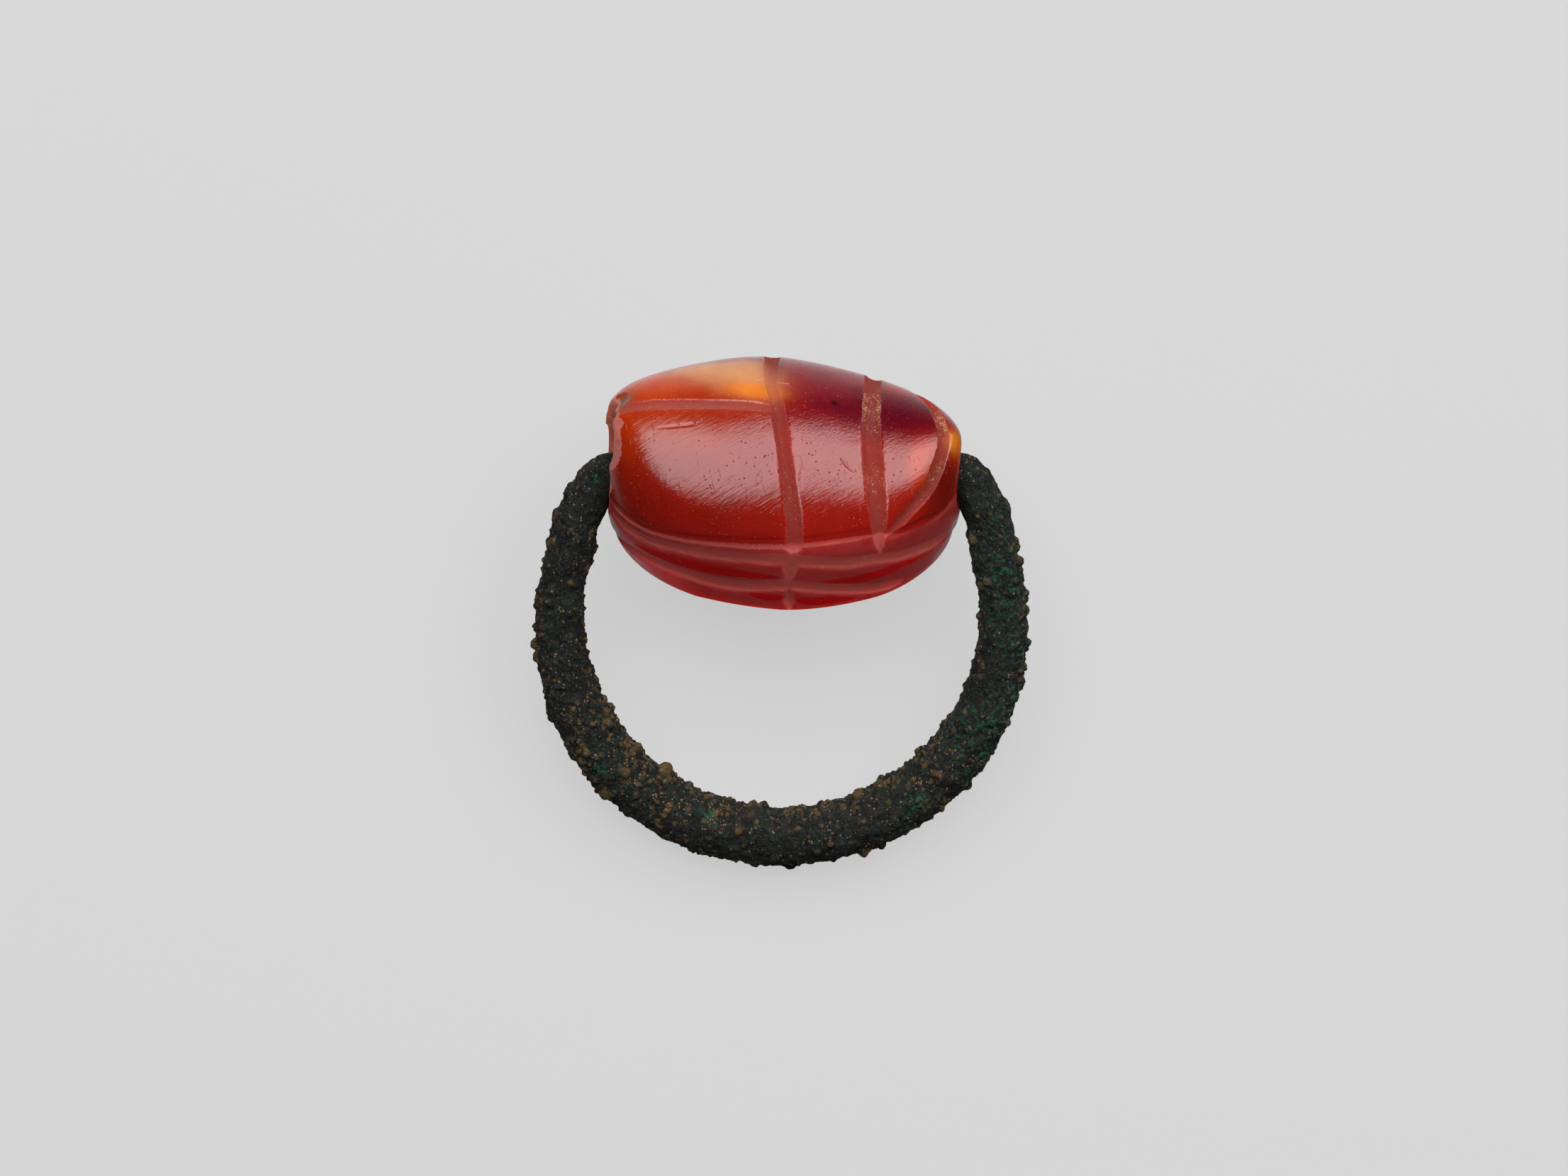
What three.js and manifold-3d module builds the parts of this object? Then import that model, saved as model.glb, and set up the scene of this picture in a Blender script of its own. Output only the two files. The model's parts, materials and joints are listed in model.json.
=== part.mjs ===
// A carnelian scarab, bored lengthwise, that turns on the tapered ends of a corroded bronze finger-ring hoop.
// Millimetres, +Z up, +X towards the beetle's head. The ring lies on a table as it does when it is put down:
// on the far end of the hoop and on the far lower edge of the stone, with the beetle's back leaning to +Y.

import * as THREE from 'three';
import { mergeVertices } from 'three/addons/utils/BufferGeometryUtils.js';
import Module from 'manifold-3d';

const DEG = Math.PI / 180;

// The stone, in its own frame: X along the bore, Y across, Z out of the beetle's back, origin on the bore
const STONE_HALF_LENGTH = 8.35;
const STONE_HALF_WIDTH = 5.82;
const TAIL_FULLNESS = [1.4, 3.2];
const HEAD_FULLNESS = [1.755, 2.29];
const BACK_HEIGHT = 4.5;
const HEAD_DROP = 1.6;
const DROP_FROM = -3;
const DROP_RUN = 9;
const CREST_FULLNESS = [8, 7];
const BASE_DEPTH = 3.4;
const BASE_HALF_LENGTH = 7.87;
const BASE_FULLNESS = 2.04;
const BASE_INSET = 0.03;
const NARROWEST_BASE = 0.1;
const BASE_END_ROUNDING = 0.45;
const SKEW = 0.014;
const STONE_LEAN = 39.6 * DEG;

// The bore, and the chipped mouths where the hoop's ends go in
const BORE_RADIUS = 0.95;
const MOUTH_RADIUS = 2.15;
const MOUTH_DEPTH = 1.2;
const BORE_OVERRUN = 1;

// The hoop, in its own plane: X along the bore, Y towards the stone, origin on the bore
const BORE_TO_CENTRE = 7.64;
const HOOP_STATIONS = [
  { at: 0, middle: 10.34, bar: 1.34 },
  { at: 50, middle: 10.34, bar: 1.36 },
  { at: 88, middle: 10.36, bar: 1.13 },
  { at: 109, middle: 10.5, bar: 0.98 },
  { at: 121, middle: 10.94, bar: 0.85 },
  { at: 128, middle: 11.1, bar: 0.78 },
];
// The hoop is bent a little to the tail side, and evens out this many degrees before its tips
const HOOP_SHIFT = -0.12;
const TIP_SPAN = 30;
const PIN_RADIUS = 0.72;
const PIN_BEND = { corner: 8.17, end: 7.3 };
const PIN_END = 4.6;
// The crust's height, and its two waves: how far round the bar and along the hoop each runs, and its share
const CRUST = 0.05;
const CRUST_WAVES = [
  { perDegree: 0.19, turns: 2, share: 1 },
  { perDegree: 0.47, turns: -1, share: 0.7 },
];

// Where it rests, a little of each piece is worn flat
const WORN_FLAT = 0.08;
const REACH = 60;

// How finely each surface is cut
const STONE_ROWS = 34;
const BASE_COLUMNS = 2;
const WALL_COLUMNS = 4;
const DOME_COLUMNS = 12;
const HOOP_SIDES = 12;
const HOOP_STEP = 4;
const BEND_STEPS = 5;
const CUT_SIDES = 7;
const CHIP_SIDES = 12;
const CHIP_ROWS = 8;
const BORE_SIDES = 20;
const NORMAL_STEP = 0.01;
const SAME_POINT = 1e-5;

// How high a tool has climbed out of the stone where its cut has run out, in depths of the cut
const RUN_OUT = 1.4;

// The cuts, each along corner points of [mm towards the head, degrees around the stone]: 0 is the far side,
// 90 the middle of the back, 180 the near side and 270 the near edge of the base. fade is the share of a
// cut's length, at its start and at its end, over which it runs out.
const CUTS = [
  {
    // between the wing cases and the thorax
    width: 0.75, depth: 0.27, steps: 20, fade: [0.06, 0.06], bothSides: false,
    corners: [[-0.3, 8], [-0.4, 42], [-0.42, 72], [-0.1, 90], [0.39, 131], [0.58, 152], [0.5, 171]],
  },
  {
    // between the thorax and the head
    width: 0.9, depth: 0.3, steps: 18, fade: [0.12, 0.12], bothSides: false,
    corners: [[4.4, 1], [4.2, 30], [4.08, 70], [4.04, 96], [4.17, 122], [4.35, 148], [4.48, 180]],
  },
  {
    // round the front of the head
    width: 0.65, depth: 0.24, steps: 20, fade: [0.1, 0.1], bothSides: false,
    corners: [[4.8, 14], [6.1, 32], [7.04, 58], [7.45, 84], [7.5, 108], [6.92, 136], [5.9, 150], [4.7, 167]],
  },
  {
    // between the two wing cases
    width: 0.5, depth: 0.17, steps: 9, fade: [0, 0.1], bothSides: false,
    corners: [[-8.3, 92], [-6, 90.5], [-3, 90], [-0.4, 90]],
  },
  {
    // under the wing case and thorax
    width: 0.42, depth: 0.12, steps: 14, fade: [0.05, 0.1], bothSides: true,
    corners: [[-8.1, 174], [-6.2, 175.5], [-3.8, 170.5], [0, 163], [2.3, 160.5], [4.2, 160]],
  },
  {
    // under the head
    width: 0.4, depth: 0.12, steps: 6, fade: [0.15, 0.05], bothSides: true,
    corners: [[4.8, 172], [6.2, 169], [7.3, 173], [8.05, 168]],
  },
  {
    // the upper line of the legs
    width: 0.5, depth: 0.17, steps: 16, fade: [0.03, 0.08], bothSides: true,
    corners: [
      [-8.1, 184], [-5, 183], [-2.1, 180], [0.6, 179], [2.8, 186], [4.6, 193], [6.4, 205], [7.7, 216],
    ],
  },
  {
    // the lower line of the legs
    width: 0.5, depth: 0.17, steps: 16, fade: [0.08, 0.08], bothSides: true,
    corners: [
      [-7.8, 230], [-6.4, 216], [-2.1, 213], [0.4, 208], [2.8, 221], [4.6, 235], [6.4, 229], [7.2, 238],
    ],
  },
  {
    // down the side between the front and hind legs
    width: 0.45, depth: 0.2, steps: 6, fade: [0.15, 0], bothSides: true,
    corners: [[0.27, 174], [0.25, 205], [0.23, 240], [0.23, 269]],
  },
];

// Flakes that have broken off round the tail end
const CHIPS = [
  { along: -7.8, around: 78, radius: 0.95, depth: 0.24 },
  { along: -8.08, around: 106, radius: 0.6, depth: 0.2 },
  { along: -8.1, around: 132, radius: 0.55, depth: 0.18 },
  { along: -8.1, around: 40, radius: 0.6, depth: 0.16 },
];

const clamp = THREE.MathUtils.clamp;

// The smooth stone

// 1 at the middle of the stone and 0 at the reach, falling late where the fullness is high
function taper(x, reach, [inner, outer]) {
  return (1 - Math.min(Math.abs(x) / reach, 1) ** inner) ** (1 / outer);
}

function halfWidth(x) {
  return STONE_HALF_WIDTH * taper(x, STONE_HALF_LENGTH, x < 0 ? TAIL_FULLNESS : HEAD_FULLNESS);
}

function backHeight(x) {
  const fall = (1 - Math.cos(Math.PI * clamp((x - DROP_FROM) / DROP_RUN, 0, 1))) / 2;
  return (BACK_HEIGHT - HEAD_DROP * fall) * taper(x, STONE_HALF_LENGTH, CREST_FULLNESS);
}

function baseDepth(x) {
  const past = clamp((Math.abs(x) - STONE_HALF_LENGTH) / BASE_END_ROUNDING + 1, 0, 1);
  return BASE_DEPTH * Math.sqrt(1 - past * past);
}

function baseHalfWidth(x) {
  const foot = STONE_HALF_WIDTH * taper(x, BASE_HALF_LENGTH, [BASE_FULLNESS, BASE_FULLNESS]);
  return clamp(foot, NARROWEST_BASE * halfWidth(x), Math.max(halfWidth(x) - BASE_INSET, 0));
}

// A point of the wing cases, head or sides, at an angle of -90 to 270 degrees around the stone
function surfacePoint(x, degrees) {
  const angle = degrees * DEG;
  const rise = Math.sin(angle);
  const across = Math.cos(angle);
  const foot = rise < 0 ? baseHalfWidth(x) * Math.sign(Math.cos(clamp(degrees, -89, 269) * DEG)) : 0;
  const y = foot + (halfWidth(x) - Math.abs(foot)) * across - SKEW * x;
  const z = rise * (rise < 0 ? baseDepth(x) : backHeight(x));
  return new THREE.Vector3(x, y, z);
}

function surfaceNormal(x, degrees) {
  const inside = clamp(x, NORMAL_STEP - STONE_HALF_LENGTH, STONE_HALF_LENGTH - NORMAL_STEP);
  const along = surfacePoint(inside + NORMAL_STEP, degrees).sub(surfacePoint(inside - NORMAL_STEP, degrees));
  const around = surfacePoint(inside, degrees + NORMAL_STEP).sub(surfacePoint(inside, degrees - NORMAL_STEP));
  return around.cross(along).normalize();
}

// Columns count from the middle of the base, up the far side, over the back and down the near side
const COLUMNS = 2 * (BASE_COLUMNS + WALL_COLUMNS + DOME_COLUMNS);

function columnPoint(x, column) {
  const far = column <= COLUMNS / 2;
  const step = Math.min(column, COLUMNS - column);
  if (step < BASE_COLUMNS) {
    const edge = surfacePoint(x, far ? -90 : 270);
    const middle = -SKEW * x;
    return edge.setY(middle + ((edge.y - middle) * step) / BASE_COLUMNS);
  }
  const wallTop = BASE_COLUMNS + WALL_COLUMNS;
  const degrees = (90 * (step - wallTop)) / (step < wallTop ? WALL_COLUMNS : DOME_COLUMNS);
  return surfacePoint(x, far ? degrees : 180 - degrees);
}

function smoothStone() {
  const geometry = new THREE.SphereGeometry(1, COLUMNS, STONE_ROWS);
  const { position, uv } = geometry.attributes;
  for (let i = 0; i < position.count; i += 1) {
    const row = Math.round((1 - uv.getY(i)) * STONE_ROWS);
    const x = STONE_HALF_LENGTH * Math.cos((Math.PI * row) / STONE_ROWS);
    const atPole = row === 0 || row === STONE_ROWS;
    const pole = new THREE.Vector3(x, -SKEW * x, 0);
    const point = atPole ? pole : columnPoint(x, Math.round(uv.getX(i) * COLUMNS));
    position.setXYZ(i, point.x, point.y, point.z);
  }
  return geometry;
}

// What is taken off the stone

// The middle line of the round tool that makes a cut, at the height that gives the cut its depth
class ToolPath extends THREE.Curve {
  constructor({ corners, depth, fade }, radius) {
    super();
    this.route = new THREE.SplineCurve(corners.map(([x, degrees]) => new THREE.Vector2(x, degrees)));
    this.lift = radius - depth;
    this.runOut = RUN_OUT * depth;
    this.fade = fade;
  }

  getPoint(t) {
    const { x, y: degrees } = this.route.getPoint(t);
    const [start, end] = this.fade;
    const fromStart = start > 0 ? Math.max(1 - t / start, 0) : 0;
    const fromEnd = end > 0 ? Math.max(1 - (1 - t) / end, 0) : 0;
    const height = this.lift + this.runOut * Math.max(fromStart, fromEnd);
    return surfacePoint(x, degrees).addScaledVector(surfaceNormal(x, degrees), height);
  }
}

function cutTool(cut) {
  const radius = (cut.width ** 2 / 4 + cut.depth ** 2) / (2 * cut.depth);
  const outline = new THREE.Shape();
  for (let side = 0; side < CUT_SIDES; side += 1) {
    const angle = (2 * Math.PI * side) / CUT_SIDES;
    const corner = new THREE.Vector2(radius * Math.cos(angle), radius * Math.sin(angle));
    if (side === 0) outline.moveTo(corner.x, corner.y);
    else outline.lineTo(corner.x, corner.y);
  }
  const extrudePath = new ToolPath(cut, radius);
  return new THREE.ExtrudeGeometry(outline, { steps: cut.steps, bevelEnabled: false, extrudePath });
}

function onFarSide(cut) {
  return { ...cut, corners: cut.corners.map(([x, degrees]) => [x, 180 - degrees]) };
}

function chipTool({ along, around, radius, depth }) {
  const centre = surfacePoint(along, around).addScaledVector(surfaceNormal(along, around), radius - depth);
  return new THREE.SphereGeometry(radius, CHIP_SIDES, CHIP_ROWS).translate(centre.x, centre.y, centre.z);
}

// Drilled from both ends, and chipped into a funnel at each mouth
function boreTool() {
  const outer = STONE_HALF_LENGTH + BORE_OVERRUN;
  const inner = STONE_HALF_LENGTH - MOUTH_DEPTH;
  const spread = ((MOUTH_RADIUS - BORE_RADIUS) / MOUTH_DEPTH) * (MOUTH_DEPTH + BORE_OVERRUN);
  const profile = [
    [0, -outer],
    [BORE_RADIUS + spread, -outer],
    [BORE_RADIUS, -inner],
    [BORE_RADIUS, inner],
    [BORE_RADIUS + spread, outer],
    [0, outer],
  ];
  const points = profile.map(([radius, along]) => new THREE.Vector2(radius, along));
  return new THREE.LatheGeometry(points, BORE_SIDES).rotateZ(-Math.PI / 2);
}

// The hoop

// Between two stations the bar changes evenly
function hoopAt(degrees) {
  const away = Math.abs(degrees);
  const next = Math.max(HOOP_STATIONS.findIndex((station) => station.at >= away), 1);
  const [from, to] = [HOOP_STATIONS[next - 1], HOOP_STATIONS[next]];
  const share = THREE.MathUtils.smoothstep(away, from.at, to.at);
  const lerp = THREE.MathUtils.lerp;
  return { middle: lerp(from.middle, to.middle, share), bar: lerp(from.bar, to.bar, share) };
}

// The rings of the bar from the left pin round to the right one, each a centre and a radius
function hoopRings() {
  const last = HOOP_STATIONS[HOOP_STATIONS.length - 1].at;
  const half = [];
  for (let degrees = 0; degrees <= last; degrees += HOOP_STEP) {
    const { middle, bar } = hoopAt(degrees);
    const x = middle * Math.sin(degrees * DEG);
    const y = -BORE_TO_CENTRE - middle * Math.cos(degrees * DEG);
    half.push({ centre: new THREE.Vector3(x, y, 0), radius: bar, degrees });
  }
  const tip = half[half.length - 1];
  const corner = new THREE.Vector3(PIN_BEND.corner, 0, 0);
  const bend = new THREE.QuadraticBezierCurve3(tip.centre, corner, new THREE.Vector3(PIN_BEND.end, 0, 0));
  for (let step = 1; step <= BEND_STEPS; step += 1) {
    const share = step / BEND_STEPS;
    const radius = THREE.MathUtils.lerp(tip.radius, PIN_RADIUS, share);
    half.push({ centre: bend.getPoint(share), radius, degrees: last });
  }
  half.push({ centre: new THREE.Vector3(PIN_END, 0, 0), radius: PIN_RADIUS, degrees: last });
  const mirrored = half.slice(1).reverse().map(({ centre, radius, degrees }) => (
    { centre: centre.clone().setX(-centre.x), radius, degrees: -degrees }));
  return mirrored.concat(half).map(({ centre, radius, degrees }) => (
    { centre: centre.clone().setX(centre.x + HOOP_SHIFT * bodyShare(degrees)), radius, degrees }));
}

// 1 along the body of the hoop, falling to 0 at its tips
function bodyShare(degrees) {
  const last = HOOP_STATIONS[HOOP_STATIONS.length - 1].at;
  return clamp((last - Math.abs(degrees)) / TIP_SPAN, 0, 1);
}

// The crust is uneven, and thinner towards the tips
function crustAt(degrees, around) {
  const waves = CRUST_WAVES.map(({ perDegree, turns, share }) => (
    share * Math.sin(perDegree * degrees + turns * around)));
  return CRUST * bodyShare(degrees) * (waves[0] + waves[1]);
}

function hoopBar() {
  const rings = hoopRings();
  const steps = rings.length - 1;
  const geometry = new THREE.CylinderGeometry(1, 1, 1, HOOP_SIDES, steps);
  const position = geometry.attributes.position;
  const normalOfPlane = new THREE.Vector3(0, 0, 1);
  for (let i = 0; i < position.count; i += 1) {
    const index = Math.round((position.getY(i) + 0.5) * steps);
    const ring = rings[index];
    const before = rings[Math.max(index - 1, 0)].centre;
    const after = rings[Math.min(index + 1, steps)].centre;
    const tangent = after.clone().sub(before).normalize();
    const outward = tangent.clone().cross(normalOfPlane);
    const [out, up] = [position.getX(i), position.getZ(i)];
    const radius = ring.radius + crustAt(ring.degrees, Math.atan2(up, out));
    const point = ring.centre.clone().addScaledVector(outward, out * radius);
    point.addScaledVector(normalOfPlane, up * radius);
    position.setXYZ(i, point.x, point.y, point.z);
  }
  return geometry;
}

// Cutting

const wasm = await Module();
wasm.setup();

function toSolid(geometry) {
  const bare = geometry.clone();
  bare.deleteAttribute('normal');
  bare.deleteAttribute('uv');
  const merged = mergeVertices(bare, SAME_POINT);
  const vertProperties = new Float32Array(merged.attributes.position.array);
  const triVerts = new Uint32Array(merged.index.array);
  return new wasm.Manifold(new wasm.Mesh({ numProp: 3, vertProperties, triVerts }));
}

function toGeometry(solid) {
  const mesh = solid.getMesh();
  const geometry = new THREE.BufferGeometry();
  geometry.setAttribute('position', new THREE.BufferAttribute(new Float32Array(mesh.vertProperties), 3));
  geometry.setIndex(new THREE.BufferAttribute(new Uint32Array(mesh.triVerts), 1));
  return geometry;
}

// What the table takes off a piece that lies at the given turn about the bore
function tableTool(turn, boreHeight) {
  const table = new THREE.BoxGeometry(REACH, REACH, REACH).translate(0, 0, -REACH / 2);
  return table.translate(0, 0, -boreHeight).rotateX(-turn);
}

function carve(body, tools) {
  const solid = tools.reduce((rest, tool) => rest.subtract(toSolid(tool)), toSolid(body));
  return toGeometry(solid);
}

// The two pieces as they lie

const footAtMiddle = baseHalfWidth(0);
const boreHeight = footAtMiddle * Math.sin(STONE_LEAN) + BASE_DEPTH * Math.cos(STONE_LEAN) - WORN_FLAT;
const [farEnd] = HOOP_STATIONS;
const hoopTilt = Math.asin((boreHeight - farEnd.bar + WORN_FLAT) / (BORE_TO_CENTRE + farEnd.middle));

function makeScarab() {
  const cuts = CUTS.flatMap((cut) => (cut.bothSides ? [cut, onFarSide(cut)] : [cut]));
  const carving = [...cuts.map(cutTool), ...CHIPS.map(chipTool)];
  const tools = [...carving, boreTool(), tableTool(-STONE_LEAN, boreHeight)];
  const carnelian = new THREE.MeshStandardMaterial({ color: 0xa8240c, roughness: 0.25, metalness: 0 });
  const scarab = new THREE.Mesh(carve(smoothStone(), tools), carnelian);
  scarab.name = 'scarab';
  scarab.position.z = boreHeight;
  scarab.rotation.x = -STONE_LEAN;
  return scarab;
}

function makeHoop() {
  const bronze = new THREE.MeshStandardMaterial({ color: 0x2e332c, roughness: 0.9, metalness: 0.1 });
  const hoop = new THREE.Mesh(carve(hoopBar(), [tableTool(hoopTilt, boreHeight)]), bronze);
  hoop.name = 'hoop';
  hoop.position.z = boreHeight;
  hoop.rotation.x = hoopTilt;
  return hoop;
}

const ring = new THREE.Group();
ring.add(makeScarab(), makeHoop());
const middle = new THREE.Box3().setFromObject(ring, true).getCenter(new THREE.Vector3());
ring.position.set(-middle.x, -middle.y, 0);

export default ring;
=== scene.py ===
"""A carnelian scarab that turns on a corroded bronze finger-ring hoop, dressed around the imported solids.

Work inside the functions is in millimetres; meshes are written in metres, in the row frame.
"""

import json
import math
from typing import NamedTuple

import bpy
import numpy as np
from bpy.props import FloatProperty, FloatVectorProperty, IntProperty, PointerProperty
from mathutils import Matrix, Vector, kdtree, noise


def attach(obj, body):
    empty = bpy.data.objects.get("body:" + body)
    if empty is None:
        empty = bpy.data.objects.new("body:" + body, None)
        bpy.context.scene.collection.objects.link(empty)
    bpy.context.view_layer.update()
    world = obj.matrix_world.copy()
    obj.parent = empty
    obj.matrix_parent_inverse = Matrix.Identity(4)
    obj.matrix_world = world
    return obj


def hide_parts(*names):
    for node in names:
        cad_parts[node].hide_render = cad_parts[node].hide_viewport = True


bl_info = {
    "name": "Scarab Swivel Ring",
    "version": (1, 0, 0),
    "blender": (4, 5, 0),
    "location": "View3D > Sidebar > Scarab Ring",
    "description": "Builds a carved carnelian scarab and its crusted bronze hoop around the packed solids",
    "category": "Add Mesh",
}

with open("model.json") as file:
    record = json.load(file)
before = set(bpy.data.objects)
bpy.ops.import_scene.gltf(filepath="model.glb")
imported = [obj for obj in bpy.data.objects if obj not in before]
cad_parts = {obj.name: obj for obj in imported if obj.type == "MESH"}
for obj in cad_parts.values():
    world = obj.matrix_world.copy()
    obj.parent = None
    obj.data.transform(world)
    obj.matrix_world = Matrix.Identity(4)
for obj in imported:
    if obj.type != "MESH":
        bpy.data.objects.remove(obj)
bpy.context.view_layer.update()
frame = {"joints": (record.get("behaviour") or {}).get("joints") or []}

MM = 1000.0

# Where the bore's axis lies in the row frame, from the swivel joint, and how the two pieces lean about it
BORE_POINT = np.array(frame["joints"][0]["pos_m"]) * MM
STONE_LEAN = math.radians(39.6)
HOOP_TILT = math.radians(16.05)

# The stone, in its own frame: X along the bore, Y across, Z out of the back
TAIL_FULLNESS = (1.4, 3.2)
HEAD_FULLNESS = (1.755, 2.29)
HEAD_DROP = 1.6
DROP_FROM = -3.0
DROP_RUN = 9.0
CREST_FULLNESS = (8.0, 7.0)
BASE_HALF_LENGTH = 7.87
BASE_FULLNESS = (2.04, 2.04)
BASE_INSET = 0.03
NARROWEST_BASE = 0.1
BASE_END_ROUNDING = 0.45
SKEW = 0.014
BORE_RADIUS = 0.95
MOUTH_RADIUS = 2.15
MOUTH_DEPTH = 1.2
NORMAL_STEP = 0.01
SAME_PLACE = 1e-7

# How many columns go round each part of the stone, and rows along it
DOME_COLUMNS = 230
WALL_COLUMNS = 50
BASE_COLUMNS = 74
STONE_ROWS = 222
FUNNEL_ROWS = 6
BORE_ROWS = 4
# The rows are spread evenly along the outline seen from above, whose slope counts by this weight
OUTLINE_SAMPLES = 6001
OUTLINE_WEIGHT = 0.8
RIM_SEARCH_STEPS = 40
# How far the mouths bulge inwards, in mm
FUNNEL_HOLLOW = 0.12
# The turn between the sides and the base is softened over so many degrees
EDGE_ROUNDING_DEGREES = 9
EDGE_ROUNDING_PASSES = 8


class Cut(NamedTuple):
    """A ground line along corner points of (mm towards the head, degrees around the stone).

    widths are at its start, middle and end, and fade the share of its length over which each end runs out.
    frost is how matt it is, lean where across it the deepest line lies (-1 towards 0 degrees, 1 towards 270)
    and start_depth the share of the depth that it starts with. two_sided repeats it on the far side.
    """

    widths: tuple
    depth: float
    fade: tuple
    corners: tuple
    frost: float = 1.0
    lean: float = 0.0
    start_depth: float = 1.0
    two_sided: bool = False


CUTS = {
    "waist": Cut((0.72, 0.72, 0.86), 0.24, (0.04, 0.05), start_depth=0.2, corners=(
        (-0.42, 8), (-0.55, 42), (-0.6, 72), (-0.26, 90), (0.25, 131), (0.47, 152), (0.42, 171))),
    "neck": Cut((0.7, 1.0, 0.86), 0.27, (0.1, 0.16), start_depth=0.4, corners=(
        (4.4, 1), (4.2, 30), (4.08, 70), (4.04, 96), (4.17, 122), (4.35, 148), (4.46, 183))),
    "round_head": Cut((0.6, 0.56, 0.62), 0.2, (0.08, 0.08), corners=(
        (4.8, 14), (6.1, 32), (6.95, 58), (7.33, 84), (7.36, 108), (6.84, 136), (5.9, 150), (4.7, 167))),
    "wing_line": Cut((0.56, 0.58, 0.5), 0.13, (0.0, 0.03), lean=-0.2, corners=(
        (-8.3, 92), (-6, 90.5), (-3, 90), (-0.5, 90))),
    "wing_ledge": Cut((0.5, 0.56, 0.56), 0.05, (0.05, 0.05), frost=0.0, lean=-0.85, two_sided=True, corners=(
        (-8.1, 174), (-6.2, 175), (-3.8, 170.5), (0, 163.5), (2.3, 161), (4.2, 161))),
    # A pale frosted line, barely cut, just under the ledge: a painted highlight for the light that the ledge
    # catches
    "painted_ledge_highlight": Cut((0.2, 0.27, 0.22), 0.02, (0.1, 0.1), lean=-0.5, two_sided=True, corners=(
        (-7.9, 177), (-6.2, 177.5), (-3.8, 173), (0, 166), (2.3, 163.5), (4.1, 163))),
    "head_ledge": Cut((0.36, 0.4, 0.24), 0.08, (0.12, 0.1), frost=0.0, lean=-0.8, two_sided=True, corners=(
        (4.8, 170), (5.3, 168), (6.4, 167), (7.26, 174), (7.68, 172), (7.92, 160))),
    "head_rim": Cut((0.12, 0.17, 0.17), 0.03, (0.2, 0.2), frost=0.6, lean=-0.5, corners=(
        (7.6, 171), (7.92, 158), (8.06, 138), (8.12, 117), (8.12, 97))),
    "upper_leg": Cut((0.6, 0.9, 0.75), 0.115, (0.03, 0.08), lean=0.7, two_sided=True, corners=(
        (-8.1, 190), (-6, 187.5), (-4.9, 184), (-3.3, 181), (-1.35, 178), (0, 176.5), (0.73, 178),
        (1.95, 182.6), (3.1, 186.9), (4.26, 189.5), (5.58, 197.6), (6.73, 204.3), (7.69, 215))),
    "lower_leg": Cut((0.5, 0.9, 0.75), 0.115, (0.05, 0.06), lean=0.7, two_sided=True, corners=(
        (-7.9, 226), (-7.3, 217), (-6.3, 214.5), (-4.65, 214.7), (-3, 216.5), (-1.68, 213.5),
        (-0.17, 207.6), (0.53, 208.4), (2.61, 220), (4.26, 233), (5.6, 239))),
    "side_upper": Cut((0.3, 0.8, 0.3), 0.16, (0.5, 0.5), two_sided=True, corners=(
        (0.5, 166), (0.3, 186), (0.25, 211))),
    "side_lower": Cut((0.3, 0.62, 0.2), 0.16, (0.5, 0.4), two_sided=True, corners=(
        (0.25, 202), (0.23, 232), (0.23, 262))),
    "slit": Cut((0.14, 0.22, 0.1), 0.07, (0.3, 0.3), frost=0.0, corners=(
        (2.62, 112.2), (3.0, 116.5), (3.36, 120.4))),
    "scratch_a": Cut((0.1, 0.12, 0.1), 0.022, (0.3, 0.3), frost=0.0, corners=(
        (-1.39, 115), (-1.25, 125), (-1.16, 134))),
    "scratch_b": Cut((0.1, 0.12, 0.1), 0.02, (0.3, 0.3), frost=0.0, corners=(
        (-1.08, 119), (-1.0, 125), (-0.96, 131))),
    "scratch_c": Cut((0.1, 0.12, 0.1), 0.022, (0.3, 0.3), frost=0.0, corners=(
        (0.93, 114), (0.83, 122.6), (0.76, 131))),
    "scratch_d": Cut((0.1, 0.14, 0.1), 0.03, (0.3, 0.3), frost=0.0, corners=(
        (-5.9, 107.4), (-4.82, 104.8), (-4.0, 102.8))),
}
CUT_SAMPLES = 400
WALL_STEEPNESS = 2.4
# Shares of a cut's length: it keeps its start depth up to the second and is fully deep from the third
SHALLOW_START = (0, 0.3, 0.5)
# How much a cut's width varies, how matt it is to count as frosted, and how soft its edge is in mm
WOBBLE = 0.13
FROSTED_FROM = 0.5
CUT_EDGE = 0.05
# What stands for a place nowhere near a cut or a break, in mm inside it
FAR_OUTSIDE = -0.5
# Where the wing cases and the head end above the legs: mm towards the head, degrees around
LEDGE = ((-8.4, 174), (-6.2, 175), (-3.8, 170.5), (0, 163.5), (2.3, 161), (4.5, 162), (5.3, 168), (7.2, 172),
         (8.4, 165))
# Deep clear patches left polished between the leg lines: (width, corners)
POOLS = (
    (0.75, ((-7.0, 203), (-5.48, 200.5), (-3.99, 199.2), (-2.18, 198.2), (-0.1, 197))),
    (0.62, ((1.6, 206), (3.1, 209.5), (4.26, 210.5), (5.41, 209.5), (7.0, 216))),
    (0.5, ((-1.7, 226), (-0.59, 228), (0.1, 226))),
    (0.6, ((0.4, 231), (1.62, 237), (3.2, 243))),
)
POOL_TAPER = 0.7
POOL_EDGE = 0.1
POOL_STRENGTH = 0.8
# The sides below the ledge are less polished: degrees over which this begins, and where and how it ends
SATIN_FADE = 3
SATIN_END = 272
SATIN_END_FADE = 4

# Flakes broken off round the tail, and small nicks: (mm towards the head, degrees around, radius, depth)
CHIPS = (
    (-7.68, 79, 1.0, 0.2),
    (-7.62, 106, 0.42, 0.09),
    (-7.72, 123, 0.5, 0.06),
    (-8.1, 40, 0.6, 0.12),
    (-2.34, 34, 0.3, 0.05),
)
# A flake with at least this radius is glassy, not frosted
GLASSY_FROM = 0.9
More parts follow.
